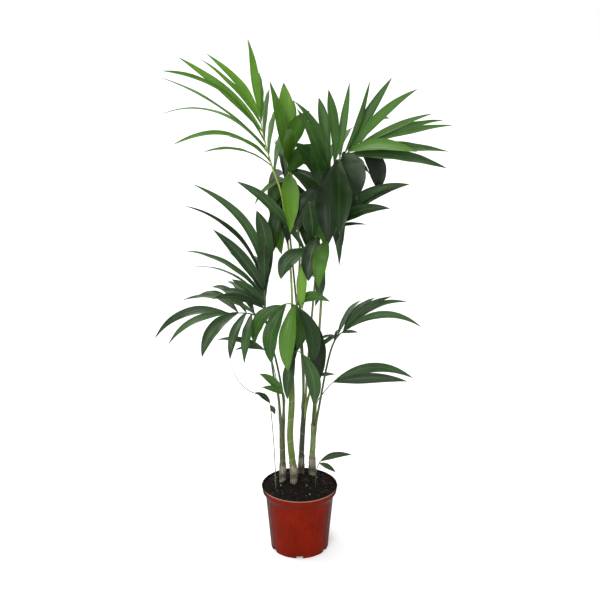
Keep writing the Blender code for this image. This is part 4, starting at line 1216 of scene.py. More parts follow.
@dataclass(frozen=True)
class SoilFinish:
    """Damp peat: nearly black, with brown crumbs and fine fibres."""

    name: str = "damp_peat"
    dark: Color = (0.0028, 0.0022, 0.0018)
    brown: Color = (0.0160, 0.0105, 0.0070)
    fleck: Color = (0.070, 0.052, 0.034)

    def material(self) -> Material:
        """Builds the finish.

        Returns:
            The material.
        """
        g = Graph(self.name)
        tint = g.marks("mark")[0]
        crumb = g.grain(190.0, 6.0, g.place(), 0.7)
        clod = g.grain(48.0, 3.0, g.place())
        level = g.weigh((crumb, 0.7), (clod, 0.35), (tint, 0.3))
        straw = g.fade(g.grain(620.0, 3.0, g.place((1.0, 0.35, 1.0))), 0.66, 0.72)
        color = g.blend(g.fade(level, 0.42, 0.78), self.dark, self.brown)
        color = g.over(color, (g.times(straw, 0.5), self.fleck))
        normal = g.relief(g.sum(crumb, g.times(straw, 0.4)), 1.0, 0.0012)
        return g.done(g.coat(color, g.fade(clod, 0.3, 0.7, 0.78, 0.96), normal, 0.10))


@dataclass(frozen=True)
class CrumbFinish:
    """Loose bits on the soil: bark, chips and pale grit."""

    name: str
    dark: Color
    light: Color

    def material(self) -> Material:
        """Builds the finish.

        Returns:
            The material.
        """
        g = Graph(self.name)
        layer = g.grain(330.0, 4.0, g.place((1.0, 1.0, 2.4)), 0.6)
        level = g.weigh((layer, 0.8), (g.marks("mark")[0], 0.35))
        color = g.blend(g.fade(level, 0.25, 0.80), self.dark, self.light)
        rough = g.fade(layer, 0.3, 0.7, 0.95, 0.75)
        return g.done(g.coat(color, rough, g.relief(layer, 0.8, 0.0006), 0.22))


@dataclass(frozen=True)
class FloorFinish:
    """A plain pale studio floor with a very faint mottle, that glows more the farther it is."""

    name: str = "studio_floor"
    pale: Color = (0.93, 0.93, 0.93)
    soft: Color = (0.90, 0.90, 0.90)
    near: float = 0.6  # distance from which the glow grows
    far: float = 5.0

    def material(self) -> Material:
        """Builds the finish.

        Returns:
            The material.
        """
        g = Graph(self.name)
        color = g.blend(g.grain(3.0, 2.0, g.place()), self.soft, self.pale)
        away = g.add("VectorMath", {"Vector": g.place()}, operation="LENGTH").outputs["Value"]
        glow = g.fade(away, self.near, self.far, 0.10, 0.42)
        feeds = {"Base Color": color, "Roughness": 0.9, "Specular IOR Level": 0.1}
        lit = {"Emission Color": WHITE, "Emission Strength": glow}
        return g.done(g.add("BsdfPrincipled", {**feeds, **lit}).outputs[0])


@dataclass(frozen=True)
class Growth:
    """The sizes that the frame's leaves were laid out with, so that each is found again."""

    cell: float = 0.006
    stride: float = 0.055
    stalk_taper: float = 0.15
    rachis_tip: float = 0.40
    sides: int = 6
    foot_share: float = 0.22
    fold: float = 16.0
    crown_radius: float = 0.0048
    crown_gap: float = 0.0008
    soil_below_rim: float = 0.004
    datum: float = 0.164
    mound: float = 0.020
    lump: float = 0.0016
    pot_wall: float = 0.002
    same: float = 0.0002  # distance within which two points are taken as one
    turns: tuple[tuple[int, int], ...] = (
        (0, 0), (3, 0), (-3, 0), (0, 5), (0, -5), (6, 0), (-6, 0), (0, 10), (0, -10),
        (5, 8), (-5, -8), (5, -8), (-5, 8), (0, 17), (0, -17), (9, 4), (-9, -4),
        (0, 25), (0, -25), (12, 0), (-12, 0), (0, 35), (0, -35),
    )
    shares: tuple[float, ...] = (1.0, 0.86, 0.72, 0.55)
    sidesteps: tuple[tuple[float, float], ...] = (
        (0, 0), (0, 0.006), (0, -0.006), (0.006, 0), (-0.006, 0), (0.006, 0.006),
        (-0.006, -0.006), (0.006, -0.006), (-0.006, 0.006), (0, 0.012), (0, -0.012),
        (0.012, 0), (-0.012, 0), (0, 0.02), (0, -0.02), (0.02, 0.01), (-0.02, 0.01),
    )

    def level(self) -> float:
        """The height of the soil at the pot's wall."""
        return box_of("pot")[1].z - self.soil_below_rim

    def grown(self, point: Point) -> Vector:
        """A point of the plant at the height that the frame's soil gives it."""
        x, y, z = point
        return Vector((x, y, z + self.level() - self.datum))

    def soil_height(self, x: float, y: float) -> float:
        """The height of the soil's mound.

        Args:
            x: the place to the right.
            y: the place to the back.

        Returns:
            The height of its surface there.
        """
        reach = box_of("pot")[1].x - self.pot_wall - 0.004
        out = min(1.0, sqrt(x * x + y * y) / reach)
        mound = self.mound * cos(0.5 * pi * out) ** 1.3
        lumps = sin(231 * x + 1.3) * sin(207 * y + 0.4) + 0.6 * sin(410 * x - 260 * y + 2.1)
        return self.level() + mound + self.lump * lumps * (1 - out**4)


GROWTH = Growth()


def blade_direction(bearing: float, lean: float) -> Vector:
    """The direction of a bearing and a lean, both in degrees."""
    b, s = radians(bearing), radians(lean)
    return Vector((cos(b) * cos(s), -sin(s), sin(b) * cos(s)))


class Traces:
    """The corners of one node of the frame, to find what lies where."""

    def __init__(self, node: str) -> None:
        """Sorts the node's corners.

        Args:
            node: the node's name.
        """
        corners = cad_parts[node].data.vertices
        self.tree = KDTree(len(corners))
        for corner in corners:
            self.tree.insert(corner.co, corner.index)
        self.tree.balance()

    def miss(self, point: Vector) -> float:
        """How far a point is from the nearest corner."""
        return self.tree.find(point)[2]


@dataclass(frozen=True)
class Blade:
    """A leaflet laid out in space, as an arch from its foot to its tip."""

    leaflet: Leaflet
    foot: Vector
    bend: Vector
    tip: Vector
    length: float
    width: float
    grid_along: int = 30
    grid_across: int = 9
    midrib: float = 0.0010
    blade_thick: float = 0.00030

    @classmethod
    def laid(cls, foot: Vector, leaflet: Leaflet, turn: tuple[int, int], share: float) -> "Blade":
        """A leaflet turned by some degrees and cut to a share of its length.

        Args:
            foot: where it begins.
            leaflet: its sizes and its way.
            turn: degrees added to its bearing and its lean.
            share: the share of its length that is left.

        Returns:
            The blade.
        """
        chord = blade_direction(leaflet.bearing + turn[0], leaflet.lean + turn[1])
        length = leaflet.length * share
        rise = UP - chord * chord.z
        if rise.length < 0.05:
            rise = -FRONT
        tip = foot + chord * length
        bend = (foot + tip) / 2 + rise.normalized() * (2 * leaflet.bow * length)
        full = 1 + 0.22 * max(0.0, -leaflet.light - 0.8)
        return cls(leaflet, foot, bend, tip, length, leaflet.width * sqrt(share) * full)

    def moved(self, foot: Vector) -> "Blade":
        """The same blade from another foot."""
        return Blade(self.leaflet, foot, self.bend, self.tip, self.length, self.width)

    def halves(self, t: np.ndarray) -> np.ndarray:
        """Half the width at each share of the length: a folded foot, a belly, a drawn-out tip.

        Args:
            t: the shares of the length.

        Returns:
            Half the width at each.
        """
        belly = self.leaflet.belly
        rise = np.sin(0.5 * pi * np.clip(t / belly, 0.0, 1.0)) ** 1.15
        foot = GROWTH.foot_share * (0.45 + 0.55 * np.clip(t / 0.10, 0.0, 1.0))
        fall = np.clip((t - belly) / (1 - belly), 0.0, 1.0)
        slim = min(1.0, max(0.0, (self.width - 0.020) / 0.020))
        return 0.5 * self.width * (foot + (1 - foot) * rise) * (1 - fall ** (1.75 + 0.45 * slim))

    def onto(self, skin: Skin, start: float, chance: Random, tint: float, finish: int) -> None:
        """Adds the blade to a piece as a thin closed body.

        Args:
            skin: the piece.
            start: the distance from the rachis's middle at which it shows.
            chance: the source of its small differences.
            tint: how light it is: a chance tone from -1 to 1, plus the leaflet's light value, which
                paints shade below 0 and brightness above.
            finish: the finish of its faces.
        """
        rows, columns = self.grid_along, self.grid_across
        first = 0.35 * start / self.length
        t = first + (1 - first) * np.linspace(0.0, 1.0, rows) ** 1.12 * 0.995
        t = t[:, None]
        foot, bend, tip = (np.array(p) for p in (self.foot, self.bend, self.tip))
        line = (1 - t) ** 2 * foot + 2 * (1 - t) * t * bend + t**2 * tip
        along = (1 - t) * (bend - foot) + t * (tip - bend)
        along /= np.linalg.norm(along, axis=1, keepdims=True)
        normal = self.facing(along)
        across = np.cross(along, normal)
        twist = radians(9.0) * chance.uniform(-1.0, 1.0) * np.sin(pi * t)
        twist = twist + radians(30.0) * chance.uniform(-1.0, 1.0) * t**3
        normal, across = (
            np.cos(twist) * normal - np.sin(twist) * across,
            np.cos(twist) * across + np.sin(twist) * normal,
        )
        sway = 0.010 * self.length * chance.uniform(-1.0, 1.0)
        line = line + across * sway * np.sin(TURN * t) * t - np.array(UP) * self.droop(t)
        half = self.halves(t)
        u = np.linspace(-1.0, 1.0, columns)[None, :]
        lift = self.lift(t, u, chance)
        top = line[:, None, :] + across[:, None, :] * (half * u)[:, :, None]
        top = top + normal[:, None, :] * lift[:, :, None]
        rib = self.midrib * np.exp(-((u / 0.13) ** 2)) * (1.15 - t)
        thick = self.blade_thick * (1 - 0.5 * t) + rib
        inner = slice(columns - 2, 0, -1)
        low = top[:, inner] - normal[:, None, :] * thick[:, inner, None]
        rings = np.concatenate([top, low], axis=1)
        around = rings.shape[1]
        marks = np.zeros((rows, around, 3))
        marks[:, :, 0] = t
        marks[:, :columns, 1] = u
        marks[:, columns:, 1] = u[:, inner]
        marks[:, columns:, 2] = 1.0
        mark = (tint, min(1.0, max(0.0, chance.gauss(0.2, 0.35))), chance.random())
        base = skin.add(rings.reshape(-1, 3), marks.reshape(-1, 3), mark)
        skin.loft(base, rows, around, finish, (True, False))
        point = np.array([line[-1] + along[-1] * 0.004 * self.length])
        end = skin.add(point, np.array([[1.0, 0.0, 0.5]]), mark)
        last = base + (rows - 1) * around
        skin.cover([(last + k, last + (k + 1) % around, end) for k in range(around)], finish)

    def droop(self, t: np.ndarray) -> np.ndarray:
        """How far the blade's outer part hangs below its arch."""
        return 0.014 * self.length * t**4

    def lift(self, t: np.ndarray, u: np.ndarray, chance: Random) -> np.ndarray:
        """The height of the blade's surface over its midrib: a fold, a sag and rippled edges.

        Args:
            t: the share of the length, a row each.
            u: the place across, from -1 to 1, a column each.
            chance: the source of its small differences.

        Returns:
            The height at each row and column.
        """
        half = self.halves(t)
        wide = np.abs(u)
        open_foot = 1 + 2.2 * np.exp(-t / 0.09)
        steep = np.tan(radians(GROWTH.fold) * (open_foot + 0.35 * chance.uniform(-1.0, 1.0)))
        lift = half * steep * wide**1.15 - 0.10 * half * np.sin(pi * wide)
        rate = chance.uniform(2.0, 4.5)
        phases = np.where(u < 0, chance.uniform(0, 6.3), chance.uniform(0, 6.3))
        ripple = min(0.0016, 0.05 * self.width) * chance.uniform(0.4, 1.2)
        fading = np.sin(pi * np.clip(t, 0, 1)) ** 0.5
        return lift + ripple * wide**2 * np.sin(TURN * rate * t + phases) * fading

    def facing(self, along: np.ndarray) -> np.ndarray:
        """The way the blade's upper side faces, along its length.

        Args:
            along: the direction at each point of its midrib.

        Returns:
            A direction square to each.
        """
        middle = Vector(along[len(along) // 2])
        front = FRONT - middle * middle.dot(FRONT)
        if front.length < 0.25:
            front = UP - middle * middle.dot(UP)
        front.normalize()
        rising = middle.cross(front)
        if rising.z < 0:
            rising = -rising
        turn = radians(self.leaflet.face)
        normal = np.array(cos(turn) * front + sin(turn) * rising)
        found = normal - along * (along @ normal)[:, None]
        return found / np.linalg.norm(found, axis=1, keepdims=True)


@dataclass
class FrondPiece:
    """One whole leaf: a grooved stalk and rachis, and every leaflet that grows from it."""

    frond: Frond
    foot: Vector
    crown: Optional[Vector]  # the middle of the stem's top, or None for a seedling
    parts: int = 9  # samples in each stride of the stalk
    around: int = 12
    groove: float = 0.34  # depth of the groove as a share of the radius
    clasp: float = 0.030  # length of stalk inside the stem's top

    def coarse_path(self, sidestep: tuple[float, float], parts: int) -> tuple[Path, list[int]]:
        """The stalk's curve for one sidestep.

        Args:
            sidestep: how far its free part is moved right and back.
            parts: the samples in each stride.

        Returns:
            The samples, and the index of each given point among them.
        """
        points = [self.foot] + [GROWTH.grown(p) for p in self.frond.points]
        free = self.frond.rachis_from
        for i in range(1, free + 1):
            points[i] = points[i] + Vector((*sidestep, 0)) * sin(pi * i / (free + 1))
        return smooth_path(points, GROWTH.stride, parts)

    def lay_out(self) -> None:
        """Finds the sidestep that the frame's stalk took, and its rachis."""
        self.traces = Traces(self.frond.name)
        best = min(GROWTH.sidesteps, key=self.strays)
        self.path, marks = self.coarse_path(best, 1)
        self.fine, _ = self.coarse_path(best, self.parts)
        self.totals = lengths_along(self.path)
        self.start = self.totals[marks[self.frond.rachis_from + 1]]
        rachis = self.totals[-1] - self.start
        self.cells = int(rachis / GROWTH.cell) - 1
        self.cell = rachis / (self.cells + 1)

    def strays(self, sidestep: tuple[float, float]) -> float:
        """How far the frame's corners lie from the stalk that a sidestep gives.

        Args:
            sidestep: the sidestep to try.

        Returns:
            The mean distance.
        """
        path, marks = self.coarse_path(sidestep, 1)
        begin = marks[self.frond.rachis_from + 1]
        totals = lengths_along(path)
        spots = range(1, max(2, begin))
        radii = [self.radius(totals[i], totals, totals[begin]) for i in spots]
        return sum(abs(self.traces.miss(path[i]) - r) for i, r in zip(spots, radii)) / len(spots)

    def radius(self, distance: float, totals: list[float], start: float) -> float:
        """The stalk's radius at a distance along it."""
        even = self.frond.radius * (1 - GROWTH.stalk_taper * min(1.0, distance / start))
        past = max(0.0, distance - start) / (totals[-1] - start)
        return max(0.0011, even * (1 - (1 - GROWTH.rachis_tip) * past))

    def blades(self) -> list[tuple[float, Blade]]:
        """Each leaflet that the frame's leaf bears: its distance along the stalk, and its blade.

        Returns:
            The distance and the blade of each.
        """
        found = {}
        for leaflet in self.frond.leaflets:
            number = self.cell_of(leaflet)
            side = self.side_toward(number, leaflet)
            near = [number + s for s in (0, 1, -1, 2, -2, 3, -3, 4, -4)]
            free = [n for n in near if 0 <= n < self.cells and (n, side) not in found]
            blade = self.found_blade(free[0], leaflet) if free else None
            if blade:
                found[free[0], side] = (self.distance_of(free[0]), blade)
        dropped = len(self.frond.leaflets) - len(found)
        if dropped:
            LOG.info("%s: %d leaflets had no room", self.frond.name, dropped)
        extra = CROWDED.get(self.frond.name, ())
        return list(found.values()) + [self.crowded(leaflet) for leaflet in extra]

    def cell_of(self, leaflet: Leaflet) -> int:
        """The cell of the rachis that a leaflet's place falls in."""
        return min(max(round(leaflet.at * self.cells), 0), self.cells - 1)

    def distance_of(self, number: int) -> float:
        """The distance of the middle of a cell of the rachis along the stalk."""
        return self.start + (number + 0.5) * self.cell

    def crowded(self, leaflet: Leaflet) -> tuple[float, Blade]:
        """A leaflet of the dense middle, which has no solid of its own in the frame."""
        number = self.cell_of(leaflet)
        return self.distance_of(number), Blade.laid(self.foot_of(number)[0], leaflet, (0, 0), 1.0)

    def foot_of(self, number: int) -> tuple[Vector, Vector]:
        """The middle of one cell of the rachis and the direction there."""
        i, share = place_along(self.path, self.totals, self.distance_of(number))
        low, high = self.path[i], self.path[i + 1]
        return low.lerp(high, share), (high - low).normalized()

    def side_toward(self, number: int, leaflet: Leaflet) -> int:
        """The side of the rachis that faces the way a leaflet grows, counted from the right.

        Args:
            number: the cell that it grows from.
            leaflet: the leaflet.

        Returns:
            The number of the side.
        """
        foot, along = self.foot_of(number)
        blade = Blade.laid(foot, leaflet, (0, 0), 1.0)
        way = (blade.bend - blade.foot).normalized()
        normal = Vector(self.frond.upper)
        normal = (normal - along * normal.dot(along)).normalized()
        right = normal.cross(along)
        away = [outward(turn, right, normal) for _, turn in turns_of(GROWTH.sides)]
        return max(range(GROWTH.sides), key=lambda k: way.dot(away[k]))

    def found_blade(self, number: int, leaflet: Leaflet) -> Optional[Blade]:
        """A leaflet in the turn and the length that the frame shows, or None.

        Args:
            number: the cell that it grows from.
            leaflet: the leaflet.

        Returns:
            Its blade, or None.
        """
        i, share = place_along(self.path, self.totals, self.distance_of(number))
        foot = self.path[i].lerp(self.path[i + 1], share)
        for part in GROWTH.shares:
            for turn in GROWTH.turns:
                blade = Blade.laid(foot, leaflet, turn, part)
                if self.traces.miss(blade.tip) < GROWTH.same:
                    spot = (i + share) * self.parts
                    low = min(int(spot), len(self.fine) - 2)
                    return blade.moved(self.fine[low].lerp(self.fine[low + 1], spot - low))
        return None

    def stalk_onto(self, skin: Skin, tint: float, chance: Random) -> None:
        """Adds the stalk and the rachis, from inside the stem's top to the last leaflet.

        Args:
            skin: the piece.
            tint: how light it is.
            chance: the source of its chance number.
        """
        path = list(self.fine)
        totals = lengths_along(path)
        scale = self.totals[-1] / totals[-1]
        flare, reach = (0.55, 0.022) if self.crown else (0.2, 0.01)
        radii = []
        for total in totals:
            even = self.radius(total * scale, self.totals, self.start)
            radii.append(even * (1 + flare * exp(-total / reach)))
        if self.crown:
            begin = (path[1] - path[0]).normalized()
            inward = (self.crown - path[0]) * 0.5 - (begin + UP).normalized() * self.clasp
            path = [path[0] + inward, path[0] + inward * 0.5] + path
            radii = [radii[0] * 0.92, radii[0]] + radii
        radii[-1] *= 0.4
        run = lengths_along(path)
        rings = []
        marks = []
        for i, (side, upper) in enumerate(frames_along(path, Vector(self.frond.upper))):
            for k, turn in turns_of(self.around):
                dip = self.groove * exp(-(((turn - pi / 2) / 0.5) ** 2))
                rings.append(path[i] + radii[i] * (1 - dip) * outward(turn, side, upper))
                marks.append((run[i], k / self.around, dip / self.groove))
        skin.tube(rings, marks, (tint, 0.0, chance.random()), self.around, 1)

    def swelling_onto(
        self, skin: Skin, blade: Blade, radius: float, tint: float, chance: Random
    ) -> None:
        """Adds the small cushion from which a leaflet grows.

        Args:
            skin: the piece.
            blade: the leaflet.
            radius: the cushion's radius.
            tint: how light the stalk is.
            chance: the source of its chance number.
        """
        along = (blade.bend - blade.foot).normalized()
        side = along.orthogonal().normalized()
        other = 0.8 * along.cross(side)
        around = 8
        rings = []
        marks = []
        for share, wide in ((0.0, 0.95), (0.35, 1.10), (0.7, 0.85), (1.0, 0.35)):
            centre = blade.foot + along * share * radius * 3.4
            for k, turn in turns_of(around):
                rings.append(centre + radius * wide * outward(turn, side, other))
                marks.append((share * 0.02, k / around, 0.6))
        skin.tube(rings, marks, (tint + 0.3, 0.0, chance.random()), around, 1)

    def build(self, leaf: Material, stalk: Material) -> Piece:
        """Makes the leaf.

        Args:
            leaf: the finish of its leaflets.
            stalk: the finish of its stalk.

        Returns:
            The piece, which stands for the frame's leaf.
        """
        self.lay_out()
        chance = seeded(self.frond.name)
        skin = Skin()
        tint = chance.uniform(-0.3, 0.3)
        self.stalk_onto(skin, tint, chance)
        for distance, blade in self.blades():
            radius = self.radius(distance, self.totals, self.start)
            shade = max(-0.5, min(0.65, tint + chance.gauss(0.0, 0.35))) + blade.leaflet.light
            blade.onto(skin, radius, chance, shade, 0)
            self.swelling_onto(skin, blade, 0.72 * radius, tint, chance)
        piece = skin.made(self.frond.name + "_leaf", [leaf, stalk])
        return settled(piece, self.frond.tone.value, self.frond.name)


@dataclass
class StemPiece:
    """One stem: overlapping leaf bases with scars between them, and an open mouth at its top."""

    stem: Stem
    around: int = 40
    step: float = 0.0016
    joint: float = 0.034  # distance between two scars
    socket: float = 0.030
    mouth: float = 0.006  # how far the sheath's mouth stands above the frame's stem
    seam: float = 0.00045
    lip: float = 0.0006  # thickness of the mouth

    def coarse_path(self) -> Path:
        """The stem's curve as the frame has it, from inside the soil.

        Returns:
            The samples.
        """
        first = GROWTH.grown(self.stem.points[0])
        surface = GROWTH.soil_height(first.x, first.y)
        foot = Vector((first.x, first.y, surface - self.socket))
        level = Vector((first.x, first.y, surface + 0.012))
        path, _ = smooth_path([level] + [GROWTH.grown(p) for p in self.stem.points], 0.022)
        return [foot] + path

    def crown(self) -> tuple[Vector, Vector]:
        """The middle of the stem's top and the direction there."""
        path = self.coarse_path()
        return path[-1], (path[-1] - path[-2]).normalized()

    def stalk_foot(self, slot: float) -> Vector:
        """Where a leaf's stalk stands on the stem's top."""
        centre, along = self.crown()
        out = Vector((cos(radians(slot)), sin(radians(slot)), 0)) * GROWTH.crown_radius
        return centre + out - along * out.dot(along) + along * GROWTH.crown_gap

    def build(self, finish: Material) -> Piece:
        """Makes the stem and its mouth in one piece.

        Args:
            finish: its finish.

        Returns:
            The piece.
        """
        chance = seeded(self.stem.name)
        path, _ = smooth_path(self.coarse_path(), self.step)
        totals = lengths_along(path)
        height = totals[-1]
        sides = frames_along(path, FRONT)
        joints = self.joints(height, chance)
        skin = Skin()
        rings = []
        marks = []
        for i, (side, upper) in enumerate(sides):
            share = totals[i] / height
            flare = 1 + 0.08 * exp(-max(0.0, totals[i] - self.socket) / 0.018)
            taper = self.stem.radius * (1 - 0.16 * share) * flare
            for k, turn in turns_of(self.around):
                scar, swell, edge = self.worn(totals[i], turn, joints)
                seam = self.seam * (0.5 + 0.5 * cos(turn - edge)) ** 24
                flute = 0.0002 * sin(5 * turn + 2.0 * share)
                reach = taper * (1 + swell) - 0.0004 * scar + seam + flute
                rings.append(path[i] + reach * outward(turn, side, upper))
                marks.append((share, k / self.around, scar))
        skin.tube(rings, marks, (0.0, 0.0, chance.random()), self.around)
        self.mouth_onto(skin, path, sides, chance)
        return settled(skin.made(self.stem.name + "_stem", [finish]), "green_stem", self.stem.name)

    def joints(self, height: float, chance: Random) -> list[tuple[float, float]]:
        """The height of each scar round the stem, and the turn at which its leaf base closed.

        Args:
            height: the stem's length.
            chance: the source of their places.

        Returns:
            The distance and the turn of each.
        """
        found = []
        at = self.socket + chance.uniform(0.02, 0.03)
        while at < height - 0.03:
            found.append((at, chance.uniform(0, TURN)))
            at += self.joint * chance.uniform(0.8, 1.35) * (1 + 0.5 * at / height)
        return found

    def worn(
        self, height: float, turn: float, joints: list[tuple[float, float]]
    ) -> tuple[float, float, float]:
        """What the joints do to one point of the stem.

        Args:
            height: its distance along the stem.
            turn: its turn round the stem.
            joints: the stem's joints.

        Returns:
            How deep in a scar it lies, its share of swelling and the turn of its leaf base's edge.
        """
        scar = swell = edge = 0.0
        for spot, way in joints:
            gap = height - (spot + 0.0035 * cos(turn - way))
            scar = max(scar, exp(-((gap / 0.0011) ** 2)))
            if 0 <= gap < 0.05:
                swell = max(swell, 0.055 * exp(-gap / 0.016))
                edge = way
        return scar, swell, edge

    def mouth_onto(
        self, skin: Skin, path: Path, sides: list[tuple[Vector, Vector]], chance: Random
    ) -> None:
        """Adds the slanting sleeve round the top, from which the stalks come.

        Args:
            skin: the piece.
            path: the stem's middle.
            sides: the two directions at each of its points.
            chance: the source of its slant.
        """
        start = path[max(0, len(path) - 21)]
        along = tangents_of(path)[-1]
        side, upper = sides[-1]
        base = self.stem.radius * 0.84
        way = chance.uniform(0, TURN)
        shares = (0.0, 0.2, 0.4, 0.6, 0.8, 0.93, 1.0)
        rings = []
        marks = []
        for thin, order in ((0.0, shares), (self.lip, shares[::-1])):
            for share in order:
                centre = start.lerp(path[-1], share)
                for k, turn in turns_of(self.around):
                    torn = 0.0012 * sin(7 * turn + way) + 0.0008 * sin(13 * turn)
                    lift = share * (self.mouth + 0.007 * cos(turn - way) + torn)
                    reach = base * (1.05 + 0.17 * share**2) - thin
                    rings.append(centre + along * lift + reach * outward(turn, side, upper))
                    edge = 0.65 * eased(share, 0.86, 1.0)
                    marks.append((0.9 + 0.1 * share, k / self.around, edge))
        skin.sleeve(rings, marks, (0.1, 0.0, chance.random()), self.around)


@dataclass
class HuskPiece:
    """The ragged dry sheath round a stem's foot, in two torn layers, with loose fibres."""

    node: str
    stem: StemPiece
    around: int = 72
    rows: int = 14
    fibres: int = 46
    wall: float = 0.0005

    def build(self, finish: Material) -> Piece:
        """Makes the husk.

        Args:
            finish: its finish.

        Returns:
            The piece.
        """
        chance = seeded(self.node)
        low, high = box_of(self.node)
        tall = high.z - low.z
        path, _ = smooth_path(self.stem.coarse_path(), 0.002)
        skin = Skin()
        for layer, (rise, reach) in enumerate(((1.15, 1.03), (0.66, 1.10), (0.36, 1.19))):
            self.layer_onto(skin, path, low.z, tall * rise, reach, chance, layer)
        for _ in range(self.fibres):
            self.fibre_onto(skin, path, low.z, tall, chance)
        return settled(skin.made(self.node + "_husk", [finish]), "dry_sheath", self.node)

    def centre(self, path: Path, height: float) -> Vector:
        """The stem's middle at a height."""
        return min(path, key=lambda p: abs(p.z - height))

    def layer_onto(
        self,
        skin: Skin,
        path: Path,
        low: float,
        tall: float,
        reach: float,
        chance: Random,
        layer: int,
    ) -> None:
        """Adds one torn layer, thin and closed.

        Args:
            skin: the piece.
            path: the stem's middle.
            low: the height of its foot.
            tall: about how high it stands.
            reach: its radius as a share of the stem's.
            chance: the source of its tears.
            layer: its number, from the inside.
        """
        radius = self.stem.stem.radius * reach
        offset = Vector((chance.uniform(0, 50), chance.uniform(0, 50), layer))
        shares = [row / (self.rows - 1) for row in range(self.rows)]
        rings = []
        marks = []
        for thin, order in ((0.0, shares), (self.wall, shares[::-1])):
            for share in order:
                for k, turn in turns_of(self.around):
                    x, y = cos(turn), sin(turn)
                    ragged = noise.noise(Vector((3.2 * x, 3.2 * y, 0)) + offset)
                    shred = noise.noise(Vector((13 * x, 13 * y, 4)) + offset)
                    top = tall * (0.74 + 0.34 * ragged + 0.26 * shred)
                    height = low - 0.002 + (top + 0.002) * share
                    bulge = 0.08 * ragged * share + 0.06 * shred * share**2 + 0.04 * share**3
                    out = radius * (1 + 0.05 * exp(-share * 4) + bulge) - thin
                    middle = self.centre(path, height)
                    rings.append(Vector((middle.x + out * x, middle.y + out * y, height)))
                    marks.append((share, k / self.around, 0.0))
        skin.sleeve(rings, marks, (0.35 - 0.35 * layer, 0.0, chance.random()), self.around)

    def fibre_onto(
        self, skin: Skin, path: Path, low: float, tall: float, chance: Random
    ) -> None:
        """Adds one loose fibre that curls out of the husk.

        Args:
            skin: the piece.
            path: the stem's middle.
            low: the height of the husk's foot.
            tall: how high the husk stands.
            chance: the source of its course.
        """
        turn = chance.uniform(0, TURN)
        start = low + tall * chance.uniform(0.0, 0.7)
        length = tall * chance.uniform(0.3, 0.75)
        curl = chance.uniform(0.05, 0.45)
        swing = chance.uniform(-0.5, 0.5)
        thick = chance.uniform(0.00016, 0.00034)
        shares = [i / 6 for i in range(7)]
        spots = []
        for share in shares:
            height = start + length * share
            middle = self.centre(path, height)
            out = self.stem.stem.radius * (1.08 + curl * share**2)
            angle = turn + swing * share
            x, y = middle.x + out * cos(angle), middle.y + out * sin(angle)
            spots.append(Vector((x, y, height)))
        radii = [thick * (1 - 0.6 * share) for share in shares]
        strand_onto(skin, spots, radii, 4, 0, chance.uniform(-0.2, 0.9))


def strand_onto(
    skin: Skin, path: Path, radii: list[float], around: int, finish: int, tint: float
) -> None:
    """Adds a thin closed strand along a path.

    Args:
        skin: the piece.
        path: the points it runs through.
        radii: its radius at each.
        around: how many sides it has.
        finish: the finish of its faces.
        tint: how light it is.
    """
    rings = []
    marks = []
    for i, (side, upper) in enumerate(frames_along(path, Vector((0.31, -0.9, 0.28)))):
        for k, turn in turns_of(around):
            rings.append(path[i] + radii[i] * outward(turn, side, upper))
            marks.append((i / len(path), k / around, 0.0))
    skin.tube(rings, marks, (tint, 0.0, 0.5), around, finish)


